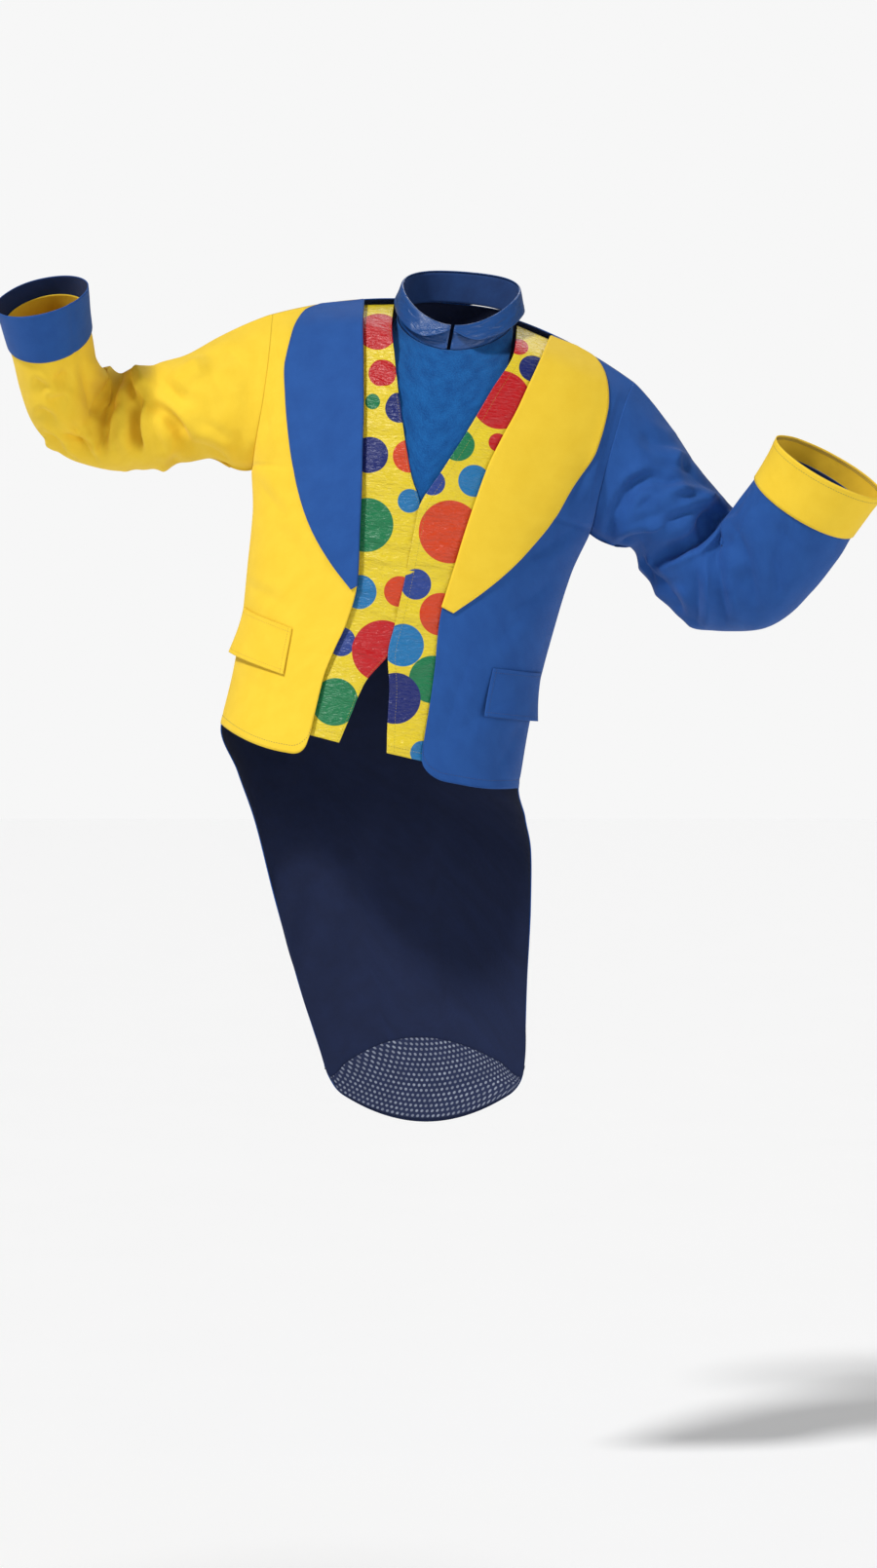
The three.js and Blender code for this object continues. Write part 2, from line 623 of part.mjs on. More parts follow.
// Lapels: the fold on the front edge and the outer edge, row by row down the lapel.
const rightLapel = [
  { step: 0, foldX: -112, foldHeight: -12, outerX: -161, outerHeight: -26 },
  { step: 1, foldX: -106, foldHeight: -45, outerX: -178, outerHeight: -38 },
  { step: 2, foldX: -99, foldHeight: -78, outerX: -186, outerHeight: -68 },
  { step: 3, foldX: -92, foldHeight: -112, outerX: -187, outerHeight: -105 },
  { step: 4, foldX: -84, foldHeight: -152, outerX: -178, outerHeight: -150 },
  { step: 5, foldX: -76, foldHeight: -200, outerX: -163, outerHeight: -201 },
  { step: 6, foldX: -68, foldHeight: -248, outerX: -142, outerHeight: -257 },
  { step: 7, foldX: -61, foldHeight: -296, outerX: -115, outerHeight: -304 },
  { step: 8, foldX: -55, foldHeight: -336, outerX: -86, outerHeight: -338 },
  { step: 9, foldX: -52, foldHeight: -360, outerX: -57, outerHeight: -364 },
];
const leftLapel = [
  { step: 0, foldX: 120, foldHeight: -14, outerX: 152, outerHeight: -18 },
  { step: 1, foldX: 114, foldHeight: -45, outerX: 176, outerHeight: -27 },
  { step: 2, foldX: 106, foldHeight: -80, outerX: 193, outerHeight: -50 },
  { step: 3, foldX: 97, foldHeight: -118, outerX: 202, outerHeight: -92 },
  { step: 4, foldX: 86, foldHeight: -154, outerX: 197, outerHeight: -145 },
  { step: 5, foldX: 76, foldHeight: -192, outerX: 177, outerHeight: -196 },
  { step: 6, foldX: 69, foldHeight: -235, outerX: 155, outerHeight: -251 },
  { step: 7, foldX: 63, foldHeight: -280, outerX: 127, outerHeight: -298 },
  { step: 8, foldX: 58, foldHeight: -325, outerX: 94, outerHeight: -340 },
  { step: 9, foldX: 53, foldHeight: -365, outerX: 66, outerHeight: -369 },
];

const lapelRoll = 1.2;
const lapelColumns = 7;
const lapelRows = 20;

function lapelPiece(name, colour, rows, side) {
  const lastStep = rows.length - 1;
  const surface = (u, v) => {
    const value = (column) => read(rows, 'step', column, v * lastStep);
    const x = mix(value('foldX'), value('outerX'), u);
    const height = mix(value('foldHeight'), value('outerHeight'), u);
    return onFront(x, height, lapelLayer + lapelRoll * (1 - u) ** 3);
  };
  return clothWall(name, colour, surface, evenly(lapelColumns), evenly(lapelRows), { sign: -side });
}

// Waistcoat panels: the V edge and the edge hidden under the coat front.
const tuck = 9;
const waistcoatColumns = 5;
const waistcoatRows = 23;
const rightWaistcoat = [
  { step: 0, innerX: -75, innerHeight: -4, outerX: -113, outerHeight: -13 },
  { step: 1, innerX: -71, innerHeight: -37, outerX: -106, outerHeight: -42 },
  { step: 2, innerX: -58, innerHeight: -85, outerX: -97, outerHeight: -86 },
  { step: 3, innerX: -36, innerHeight: -154, outerX: -83, outerHeight: -154 },
  { step: 4, innerX: -14, innerHeight: -215, outerX: -73, outerHeight: -215 },
  { step: 5, innerX: 12, innerHeight: -272, outerX: -64, outerHeight: -272 },
  { step: 6, innerX: 14, innerHeight: -330, outerX: -56, outerHeight: -330 },
  { step: 7, innerX: 12, innerHeight: -385, outerX: -53, outerHeight: -375 },
  { step: 8, innerX: 4, innerHeight: -424, outerX: -60, outerHeight: -420 },
  { step: 9, innerX: -21, innerHeight: -469, outerX: -70, outerHeight: -462 },
  { step: 10, innerX: -31, innerHeight: -512, outerX: -73, outerHeight: -505 },
  { step: 11, innerX: -38, innerHeight: -543, outerX: -75, outerHeight: -540 },
];
const leftWaistcoat = [
  { step: 0, innerX: 77, innerHeight: -4, outerX: 118, outerHeight: -16 },
  { step: 1, innerX: 80, innerHeight: -45, outerX: 111, outerHeight: -50 },
  { step: 2, innerX: 62, innerHeight: -99, outerX: 102, outerHeight: -102 },
  { step: 3, innerX: 45, innerHeight: -148, outerX: 88, outerHeight: -150 },
  { step: 4, innerX: 25, innerHeight: -200, outerX: 74, outerHeight: -200 },
  { step: 5, innerX: 3, innerHeight: -262, outerX: 65, outerHeight: -262 },
  { step: 6, innerX: 3, innerHeight: -323, outerX: 57, outerHeight: -323 },
  { step: 7, innerX: 1, innerHeight: -393, outerX: 53, outerHeight: -385 },
  { step: 8, innerX: -1, innerHeight: -424, outerX: 56, outerHeight: -424 },
  { step: 9, innerX: 9, innerHeight: -471, outerX: 58, outerHeight: -471 },
  { step: 10, innerX: 14, innerHeight: -508, outerX: 60, outerHeight: -508 },
  { step: 11, innerX: 20, innerHeight: -545, outerX: 61, outerHeight: -547 },
];

function waistcoatPanel(name, rows, layer, side) {
  const lastStep = rows.length - 1;
  const surface = (u, v) => {
    const value = (column) => read(rows, 'step', column, v * lastStep);
    const x = mix(value('innerX'), value('outerX') + side * tuck, u);
    const height = mix(value('innerHeight'), value('outerHeight'), u);
    return onFront(x, height, layer);
  };
  return clothWall(name, colours.satin, surface, evenly(waistcoatColumns), evenly(waistcoatRows), {
    sign: -side,
    wall: satinThickness,
  });
}

// Collar: a stand round the neck, and a fall that turns over it.
// tilt: how much higher the back of the neck is than its middle. turn: the neck's own lean.
const collar = {
  halfWidth: 69,
  depth: 69,
  middleY: -14,
  middleHeight: -23,
  tilt: 37,
  sideRise: 9,
  turn: 0.11,
  shift: 2,
  rightFlare: 0.4,
  columns: 28,
};

function neckRing(angle, grow, lift) {
  const x = collar.shift + (collar.halfWidth + grow) * Math.sin(angle);
  const rise = collar.sideRise * Math.sin(angle) ** 2 - collar.tilt * Math.cos(angle);
  const height = collar.middleHeight + rise + collar.turn * x + lift;
  return leaned(x, collar.middleY - (collar.depth + grow) * Math.cos(angle), height);
}

const stand = { height: 27, backRise: 10, backRiseAngle: 1.4, outside: 1.5, taper: 2, rows: 3 };
const collarGap = 0.03;
// The fall rolls over the stand's top edge round a line inside the stand's wall.
const fallRoll = { centre: 0.45, radius: 2.78, rows: 3 };
const fallRows = 4;
// Where the wearer's right side of the fall turns narrower, by the sine of the angle.
const narrowing = { from: 0.2, to: 0.8 };
const collarFall = [
  { angle: 0, drop: 5, flare: 5 },
  { angle: 0.49, drop: 22, flare: 9 },
  { angle: 0.9, drop: 24, flare: 10 },
  { angle: 1.6, drop: 22, flare: 9 },
  { angle: Math.PI, drop: 38, flare: 14 },
];

function foldLift(angle) {
  const fromFront = Math.min(angle, 2 * Math.PI - angle);
  return stand.height + stand.backRise * smoothStep(0, stand.backRiseAngle, fromFront);
}

function collarStand() {
  const surface = (u, v) => {
    const angle = mix(collarGap, 2 * Math.PI - collarGap, u);
    return neckRing(angle, stand.outside - stand.taper * v, mix(foldLift(angle), 0, v));
  };
  const columns = evenly(collar.columns);
  return clothWall('collar_stand', colours.collarBlue, surface, columns, evenly(stand.rows), {
    wall: satinThickness,
  });
}

function collarFallPiece() {
  const rollShare = fallRoll.rows / (fallRoll.rows + fallRows);
  const surface = (u, v) => {
    const angle = mix(collarGap, 2 * Math.PI - collarGap, u);
    const folded = Math.min(angle, 2 * Math.PI - angle);
    const drop = read(collarFall, 'angle', 'drop', folded);
    const narrowed = smoothStep(narrowing.from, narrowing.to, -Math.sin(angle));
    const flare = read(collarFall, 'angle', 'flare', folded) * mix(1, collar.rightFlare, narrowed);
    const slope = Math.atan2(flare, drop);
    const turned = mix(Math.PI / 2, slope, Math.min(v / rollShare, 1));
    const hanging = Math.max(0, (v - rollShare) / (1 - rollShare));
    const grow = fallRoll.centre + fallRoll.radius * Math.cos(turned) + flare * hanging;
    const lift = foldLift(angle) + fallRoll.radius * Math.sin(turned) - drop * hanging;
    return neckRing(angle, grow, lift);
  };
  const columns = evenly(collar.columns);
  const rows = evenly(fallRoll.rows + fallRows);
  return clothWall('collar_fall', colours.collarBlue, surface, columns, rows, { wall: satinThickness });
}

// The shirt front shows between the waistcoat's edges and runs up to the collar.
const shirtEdges = [
  { height: -72, half: 84 },
  { height: -110, half: 74 },
  { height: -154, half: 56 },
  { height: -215, half: 34 },
  { height: -285, half: 12 },
];
const shirt = {
  topAngle: 1.56,
  topHeight: -72,
  bottomHeight: -285,
  shift: 2,
  sideRise: 28,
  joinFrom: -0.02,
  joinTo: 0.22,
  columns: 12,
};
const shirtRows = [0, 0.05, 0.1, 0.17, 0.25, 0.4, 0.55, 0.7, 0.85, 1];

function shirtFront() {
  const surface = (u, v) => {
    const s = mix(-1, 1, u);
    const neck = neckRing(s * shirt.topAngle, 0, -seamGap);
    const height = mix(shirt.topHeight, shirt.bottomHeight, v);
    const half = read(shirtEdges, 'height', 'half', height);
    const raised = height + shirt.sideRise * s * s * (1 - v);
    const chest = onFront(s * half + shirt.shift, raised, shirtLayer);
    return neck.lerp(chest, smoothStep(shirt.joinFrom, shirt.joinTo, v));
  };
  return clothWall('shirt_front', colours.shirtBlue, surface, evenly(shirt.columns), shirtRows, {
    sign: -1,
    wall: satinThickness,
  });
}

// Pocket flaps, hanging from their top edge and standing off at their free corners.
const flaps = {
  right: {
    side: -1,
    frontAcross: 0.635,
    sideAcross: 0.985,
    frontTop: -421,
    sideTop: -404,
    tall: 56,
    liftFront: 1,
    liftSide: 9,
  },
  left: {
    side: 1,
    frontAcross: 0.675,
    sideAcross: 0.985,
    frontTop: -423,
    sideTop: -415,
    tall: 58,
    liftFront: 6,
    liftSide: 10,
  },
};
const flapCurl = 1.5;
const flapColumns = 7;
const flapRows = 4;

function pocketFlap(name, colour, flap) {
  const surface = (u, v) => {
    const angle = mix(Math.asin(flap.frontAcross), Math.asin(flap.sideAcross), u);
    const across = flap.side * Math.sin(angle);
    const height = mix(flap.frontTop, flap.sideTop, u) - v * flap.tall;
    const row = rowAt(across, height);
    const lift = mix(flap.liftFront, flap.liftSide, u) * v ** flapCurl;
    return bodyForm(row, across, -1).addScaledVector(outwardAt(across, row, -1), lapelLayer + lift);
  };
  return clothWall(name, colour, surface, evenly(flapColumns), evenly(flapRows), { sign: -flap.side });
}

const coat = new THREE.Group();
coat.add(frontPanel('right_front', colours.yellow, rightFrontEdge, frontHems.right, -1));
coat.add(frontPanel('left_front', colours.blue, leftFrontEdge, frontHems.left, 1));
coat.add(backPanel());
coat.add(tailFacing());
coat.add(...sleevePieces('right', colours.yellow, colours.blue, sleeves.right));
coat.add(...sleevePieces('left', colours.blue, colours.yellow, sleeves.left));
coat.add(lapelPiece('right_lapel', colours.blue, rightLapel, -1));
coat.add(lapelPiece('left_lapel', colours.yellow, leftLapel, 1));
coat.add(waistcoatPanel('right_waistcoat', rightWaistcoat, rightWaistcoatLayer, -1));
coat.add(waistcoatPanel('left_waistcoat', leftWaistcoat, leftWaistcoatLayer, 1));
coat.add(shirtFront());
coat.add(collarStand());
coat.add(collarFallPiece());
coat.add(pocketFlap('right_pocket_flap', colours.yellow, flaps.right));
coat.add(pocketFlap('left_pocket_flap', colours.blue, flaps.left));

export default coat;
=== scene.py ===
# Clown tailcoat, as it is worn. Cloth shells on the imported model's own form.
# Sizes are in millimetres in the tables and turned into metres when a mesh is made.
import math
import bpy
import numpy as np
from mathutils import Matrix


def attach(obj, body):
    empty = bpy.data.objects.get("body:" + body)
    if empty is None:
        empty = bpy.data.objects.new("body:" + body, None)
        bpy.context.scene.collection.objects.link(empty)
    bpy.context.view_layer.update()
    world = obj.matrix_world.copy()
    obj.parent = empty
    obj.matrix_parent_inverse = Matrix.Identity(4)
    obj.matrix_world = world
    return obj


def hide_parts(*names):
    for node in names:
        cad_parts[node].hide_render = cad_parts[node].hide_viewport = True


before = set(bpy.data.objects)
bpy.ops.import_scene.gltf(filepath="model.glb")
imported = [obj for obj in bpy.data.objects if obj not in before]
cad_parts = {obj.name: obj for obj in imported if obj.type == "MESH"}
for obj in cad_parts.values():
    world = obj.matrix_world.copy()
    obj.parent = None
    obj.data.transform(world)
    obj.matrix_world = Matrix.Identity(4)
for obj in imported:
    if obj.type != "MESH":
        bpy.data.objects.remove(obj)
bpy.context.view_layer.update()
mm = 0.001

cameraPlan = {"x": -0.0208, "z": -0.5758, "distance": 4.5, "halfHeight": 0.95}


def addCamera(plan):
    data = bpy.data.cameras.new("camera")
    data.sensor_fit = "VERTICAL"
    data.angle_y = 2 * math.atan(plan["halfHeight"] / plan["distance"])
    data.clip_end = 200
    camera = bpy.data.objects.new("camera", data)
    camera.location = (plan["x"], -plan["distance"], plan["z"])
    camera.rotation_euler = (math.pi / 2, 0, 0)
    bpy.context.collection.objects.link(camera)
    bpy.context.scene.camera = camera


addCamera(cameraPlan)


# Reading tables and shaping cloth

def table(columns, rows):
    values = np.array(rows, float)
    return {name: values[:, i] for i, name in enumerate(columns.split())}


def read(rows, key, column, at):
    x, y = rows[key], rows[column]
    if x[-1] < x[0]:
        x, y = x[::-1], y[::-1]
    slopes = np.diff(y) / np.diff(x)
    before, after = slopes[:-1], slopes[1:]
    total = np.where(before + after == 0, 1, before + after)
    inner = np.where(before * after > 0, 2 * before * after / total, 0)
    tangents = np.concatenate([slopes[:1], inner, slopes[-1:]])
    at = np.clip(np.asarray(at, float), x[0], x[-1])
    i = np.clip(np.searchsorted(x, at, side="right") - 1, 0, len(x) - 2)
    span = x[i + 1] - x[i]
    s = (at - x[i]) / span
    rise = s * s * (3 - 2 * s)
    leaving = s * (1 - s) ** 2 * span * tangents[i]
    arriving = s * s * (s - 1) * span * tangents[i + 1]
    return y[i] * (1 - rise) + y[i + 1] * rise + leaving + arriving


def smoothStep(start, end, at):
    s = np.clip((np.asarray(at, float) - start) / (end - start), 0, 1)
    return s * s * (3 - 2 * s)


def mix(a, b, share):
    return a + (b - a) * share


def unit(v):
    return v / np.maximum(np.linalg.norm(v, axis=-1, keepdims=True), 1e-9)


lean = math.radians(10.7)
layers = {"wall": 1.2, "satinWall": 0.9, "seamGap": 0.08, "panelShift": 0.02}
armpitRow = 6
frontHemRow = 11
lastRow = 17

bodyRows = table("row middle edge half shift front back rimFront rimBack", [
    (0, 6, -47, 222, 6, 0, 0, 0, 0),
    (1, -42, -76, 217, 5, 84, 86, 26, 28),
    (2, -95, -118, 212, 5, 110, 114, 46, 50),
    (3, -150, -162, 209, 4, 127, 130, 52, 56),
    (4, -194, -202, 208, 3, 136, 134, 44, 48),
    (5, -222, -228, 208, 3, 139, 134, 20, 22),
    (6, -238, -238, 208, 2, 140, 132, 0, 0),
    (7, -290, -290, 196, 1, 139, 124, 0, 0),
    (8, -350, -350, 190, 0, 135, 114, 0, 0),
    (9, -410, -410, 185, 0, 132, 110, 0, 0),
    (10, -475, -475, 182, -1, 134, 122, 0, 0),
    (11, -547, -547, 184, -2, 140, 138, 0, 0),
    (12, -600, -600, 178, -2, 143, 142, 0, 35),
    (13, -651, -651, 171, 0, 143, 140, 0, 70),
    (14, -733, -733, 160, 0, 143, 136, 0, 96),
    (15, -834, -834, 143, 0, 143, 132, 0, 106),
    (16, -946, -946, 126, 0, 143, 128, 0, 112),
    (17, -1014, -1014, 120, 0, 143, 126, 0, 112),
])
tailHang = table("row swing upright", [
    (0, 0, 0), (11, 0, 0), (12, 23, 1.7), (13, 44, 4.7),
    (14, 70, 7.2), (15, 101, 9.2), (16, 136, 10.7), (17, 152, 10.7),
])
bodyShape = {
    "roundness": 2.3, "chestCurve": 2.2, "roundsIn": (2, 8), "flattensIn": (12, 15),
    "neckX": 2, "neckY": -14, "neckRadius": 71, "neckRise": 8.2, "neckTurn": 0.009,
    "tailHemRise": 46, "tailCornerStart": 0.86, "tailCornerRise": 14, "tailRoundingRow": 15,
}


def leaned(x, y, z):
    x, y, z = np.broadcast_arrays(*(np.asarray(v, float) for v in (x, y, z)))
    c, s = math.cos(lean), math.sin(lean)
    return np.stack([x * c + z * s, y, z * c - x * s], axis=-1)


def leanedPlace(points):
    c, s = math.cos(lean), math.sin(lean)
    return points[..., 0] * c - points[..., 2] * s, points[..., 0] * s + points[..., 2] * c


def heightOnBody(row, across):
    return mix(read(bodyRows, "row", "middle", row), read(bodyRows, "row", "edge", row), across ** 2)


def bodyForm(row, across, facing):
    row, across = np.broadcast_arrays(np.asarray(row, float), np.asarray(across, float))
    value = lambda column: read(bodyRows, "row", column, row)
    shape = bodyShape
    q = np.minimum(np.abs(across), 1)
    x = value("shift") + across * value("half")
    seam = -value("rimFront") if facing < 0 else value("rimBack")
    depth = -value("front") if facing < 0 else value("back")
    flat = 1 - q ** shape["chestCurve"]
    rounded = (1 - q ** shape["roundness"]) ** (1 / shape["roundness"])
    roundShare = smoothStep(*shape["roundsIn"], row) - smoothStep(*shape["flattensIn"], row)
    y = mix(seam, depth, mix(flat, rounded, roundShare))
    rise = heightOnBody(row, across) - value("middle")
    if facing > 0:
        aside = x - shape["neckX"]
        circle = np.sqrt(np.maximum(0, shape["neckRadius"] ** 2 - aside ** 2))
        behind = np.maximum(0, shape["neckY"] + circle)
        nearest = np.sqrt(behind / (shape["neckRadius"] + shape["neckY"]))
        share = 1 - smoothStep(0, 1, row)
        y = y + behind * share
        rise = rise + shape["neckRise"] * nearest * (1 + shape["neckTurn"] * aside) * share
        start = shape["tailRoundingRow"]
        atHem = (np.maximum(0, row - start) / (lastRow - start)) ** 2
        corner = np.maximum(0, (q - shape["tailCornerStart"]) / (1 - shape["tailCornerStart"]))
        curve = shape["tailCornerRise"] * (1 - np.sqrt(1 - np.minimum(corner, 1) ** 2))
        rise = rise + atHem * (shape["tailHemRise"] * q * q + curve)
    tilt = lean - np.radians(read(tailHang, "row", "upright", row))
    middle = value("middle")
    swing = read(tailHang, "row", "swing", row)
    return np.stack([
        middle * math.sin(lean) + swing + x * np.cos(tilt) + rise * np.sin(tilt),
        y + facing * layers["panelShift"],
        middle * math.cos(lean) - x * np.sin(tilt) + rise * np.cos(tilt),
    ], axis=-1)


search = {"lowestRow": 13.0, "halvings": 22, "rounds": 5}


def rowAt(across, height):
    across, height = np.broadcast_arrays(np.asarray(across, float), np.asarray(height, float))
    low, high = np.zeros(across.shape), np.full(across.shape, search["lowestRow"])
    for _ in range(search["halvings"]):
        half = (low + high) / 2
        above = heightOnBody(half, across) > height
        low, high = np.where(above, half, low), np.where(above, high, half)
    return (low + high) / 2


def onFront(x, height):
    across = np.zeros(np.shape(x))
    for _ in range(search["rounds"]):
        row = rowAt(across, height)
        fromMiddle = x - read(bodyRows, "row", "shift", row)
        across = np.clip(fromMiddle / read(bodyRows, "row", "half", row), -1, 1)
    return bodyForm(row, across, -1)


def normalsOf(grid, sign, closed=False):
    if closed:
        wrapped = np.concatenate([grid[:, -2:-1], grid, grid[:, 1:2]], axis=1)
        across = wrapped[:, 2:] - wrapped[:, :-2]
    else:
        across = np.gradient(grid, axis=1)
    return unit(np.cross(across, np.gradient(grid, axis=0))) * sign


creaseShape = {"easySide": 1.7, "steepSide": 0.65, "starts": (-0.15, 0.35), "ends": (0.65, 1.15),
               "turnsAway": (0.02, 0.4), "blunt": 0.5, "falloff": 1.3,
               "ridge": 0.3, "ridgeAt": 2.2, "ridgeSpread": 1.1}


def creaseRelief(p, q, outwardY, creases):
    # listed troughs, steeper on one side, with a low ridge on each side
    shape = creaseShape
    relief = np.zeros(np.shape(p))
    for startP, startQ, endP, endQ, depth, width, bow, facing in creases:
        alongP, alongQ = endP - startP, endQ - startQ
        length = math.hypot(alongP, alongQ)
        reach = ((p - startP) * alongP + (q - startQ) * alongQ) / length ** 2
        inside = np.clip(reach, 0, 1)
        aside = ((p - startP) * alongQ - (q - startQ) * alongP) / length - bow * 4 * inside * (1 - inside)
        spread = width * np.where(aside > 0, shape["easySide"], shape["steepSide"])
        ends = smoothStep(*shape["starts"], reach) * (1 - smoothStep(*shape["ends"], reach))
        faces = smoothStep(*shape["turnsAway"], outwardY * facing) if facing else 1.0
        trough = np.exp(-(np.sqrt(aside ** 2 + shape["blunt"]) / spread) ** shape["falloff"])
        fromRidge = np.abs(aside) - shape["ridgeAt"] * spread
        ridge = np.exp(-(fromRidge / (shape["ridgeSpread"] * spread)) ** 2)
        relief += ends * faces * depth * (shape["ridge"] * ridge - trough)
    return relief


waveShape = {"count": 7, "period": (0.6, 1.7)}


def softWaves(p, q, seed, length):
    # slow unevenness of unstarched cloth: a few seeded waves in different directions
    chance = np.random.default_rng(seed)
    total = np.zeros(np.broadcast(p, q).shape)
    for _ in range(waveShape["count"]):
        angle = chance.uniform(0, math.pi)
        period = length * chance.uniform(*waveShape["period"])
        phase = chance.uniform(0, 2 * math.pi)
        total += np.sin((p * math.cos(angle) + q * math.sin(angle)) * 2 * math.pi / period + phase)
    return total / waveShape["count"]


# Meshes

def lengthsFrom(grid, axis):
    steps = np.linalg.norm(np.diff(grid, axis=axis), axis=-1)
    zero = np.zeros_like(np.take(steps, [0], axis=axis))
    return np.concatenate([zero, np.cumsum(steps, axis=axis)], axis=axis)


def clothShell(name, grid, sign, wall, closed=False, cutTop=None, uv=None):
    # grid: rows x columns x 3 points of the outer face in millimetres
    rows, columns = grid.shape[:2]
    normals = normalsOf(grid, sign, closed)
    inner = grid - normals * wall
    if cutTop is not None:
        inner[0] = grid[0] + cutTop * wall
    if uv is None:
        uv = np.stack([lengthsFrom(grid, 1), lengthsFrom(grid, 0)], axis=-1)
    count = rows * columns
    index = np.arange(count).reshape(rows, columns)
    a, b, c, d = index[:-1, :-1], index[:-1, 1:], index[1:, 1:], index[1:, :-1]
    quads = lambda *corners: np.stack([x.ravel() for x in corners], axis=-1)
    faces = [quads(a, b, c, d), quads(a + count, d + count, c + count, b + count)]
    top, bottom = index[0], index[-1]
    faces.append(quads(top[:-1], top[:-1] + count, top[1:] + count, top[1:]))
    faces.append(quads(bottom[:-1], bottom[1:], bottom[1:] + count, bottom[:-1] + count))
    if not closed:
        left, right = index[:, 0], index[:, -1]
        faces.append(quads(left[:-1], left[1:], left[1:] + count, left[:-1] + count))
        faces.append(quads(right[:-1], right[:-1] + count, right[1:] + count, right[1:]))
    slots = np.concatenate([np.full(len(f), 1 if i == 1 else 0) for i, f in enumerate(faces)])
    faces = np.concatenate(faces)
    if sign < 0:
        faces = faces[:, ::-1]
    points = np.concatenate([grid.reshape(-1, 3), inner.reshape(-1, 3)]) * mm
    loopUv = np.concatenate([uv.reshape(-1, 2)] * 2)[faces.ravel()] * mm
    if closed:
        keep = (np.arange(2 * count) % columns) != columns - 1
        moved = np.cumsum(keep) - 1
        target = np.where(keep, np.arange(2 * count), np.arange(2 * count) - columns + 1)
        faces = moved[target][faces]
        points = points[keep]
    mesh = bpy.data.meshes.new(name)
    mesh.from_pydata(points.tolist(), [], faces.tolist())
    mesh.uv_layers.new(name="cut").data.foreach_set("uv", loopUv.ravel())
    mesh.polygons.foreach_set("material_index", slots.astype(np.int32))
    mesh.polygons.foreach_set("use_smooth", np.ones(len(faces), bool))
    mesh.update()
    piece = bpy.data.objects.new(name, mesh)
    bpy.context.collection.objects.link(piece)
    return piece, normals


def finishPiece(piece, cut):
    # cut: the piece's nodes and cloths; its slot, flat size and area in metres are not used here
    nodes, slot = cut["nodes"], cut["slot"]
    piece.data.materials.append(cut["outside"])
    piece.data.materials.append(cut["inside"])
    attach(piece, "root")
    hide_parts(*nodes)
    area = sum(p.area for p in piece.data.polygons) / 2
    print(f"{piece.name}: {len(piece.data.polygons) * 2} triangles, {area:.4f} square metres of cloth")


# each stitch's rings: their place along it and their thickness
threadShape = {"sides": 5, "rings": ((0.0, 0.35), (0.25, 1.0), (0.75, 1.0), (1.0, 0.35)),
               "start": 0.3, "proud": 0.35, "sunk": -0.5, "flatness": 0.8}


def stitchRun(name, path, normals, plan, material):
    # path: points on the cloth in millimetres. One small tapered thread for each stitch.
    lengths = np.concatenate([[0], np.cumsum(np.linalg.norm(np.diff(path, axis=0), axis=1))])
    shape = threadShape
    starts = np.arange(plan["pitch"] * shape["start"], lengths[-1] - plan["stitch"], plan["pitch"])
    sides, rings = shape["sides"], shape["rings"]
    at = lambda s, values: np.stack([np.interp(s, lengths, values[:, k]) for k in range(3)], axis=-1)
    points, faces = [], []
    perStitch = sides * len(rings)
    turn = np.arange(sides) * 2 * math.pi / sides
    for share, thick in rings:
        centre = at(starts + share * plan["stitch"], path)
        out = unit(at(starts + share * plan["stitch"], normals))
        along = unit(at(starts + plan["stitch"], path) - at(starts, path))
        side = unit(np.cross(out, along))
        rise = plan["radius"] * (shape["proud"] if thick == 1.0 else shape["sunk"])
        sideways = np.cos(turn)[None, :, None] * side[:, None]
        upwards = shape["flatness"] * np.sin(turn)[None, :, None] * out[:, None]
        points.append((centre + out * rise)[:, None] + plan["radius"] * thick * (sideways + upwards))
    points = np.stack(points, axis=1).reshape(-1, 3)
    for s in range(len(starts)):
        first = s * perStitch
        for r in range(len(rings) - 1):
            for k in range(sides):
                a, b = first + r * sides + k, first + r * sides + (k + 1) % sides
                faces.append((a, a + sides, b + sides, b))
        faces.append(tuple(first + k for k in range(sides)))
        faces.append(tuple(first + (len(rings) - 1) * sides + k for k in reversed(range(sides))))
    mesh = bpy.data.meshes.new(name)
    mesh.from_pydata((points * mm).tolist(), [], faces)
    mesh.polygons.foreach_set("use_smooth", np.ones(len(faces), bool))
    mesh.materials.append(material)
    piece = bpy.data.objects.new(name, mesh)
    bpy.context.collection.objects.link(piece)
    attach(piece, "root")


def stitchEdge(name, grid, normals, edge, distance, plan, material):
    path, outward = lineFrom(grid, normals, edge, distance)
    kept = plan.get("stitched", slice(None))
    stitchRun(name, path[kept], outward[kept], plan, material)


def acrossShares(count):
    return np.linspace(0, 1, count + 1)[None, :]


def downShares(count):
    return np.linspace(0, 1, count + 1)[:, None]


def lineFrom(grid, normals, edge, distance):
    # the line on the cloth that runs a fixed distance inside one of its edges
    axis = 0 if edge in ("top", "bottom") else 1
    turned = grid if edge in ("top", "start") else np.flip(grid, axis)
    turnedNormals = normals if edge in ("top", "start") else np.flip(normals, axis)
    if axis == 1:
        turned, turnedNormals = turned.swapaxes(0, 1), turnedNormals.swapaxes(0, 1)
    lengths = lengthsFrom(turned, 0)
    path = np.empty((turned.shape[1], 3))
    out = np.empty((turned.shape[1], 3))
    for i in range(turned.shape[1]):
        for k in range(3):
            path[i, k] = np.interp(distance, lengths[:, i], turned[:, i, k])
            out[i, k] = np.interp(distance, lengths[:, i], turnedNormals[:, i, k])
    return path, out


# Materials

def linear(red, green, blue):
    values = [v / 255 for v in (red, green, blue)]
    return tuple(v / 12.92 if v <= 0.04045 else ((v + 0.055) / 1.055) ** 2.4 for v in values) + (1.0,)


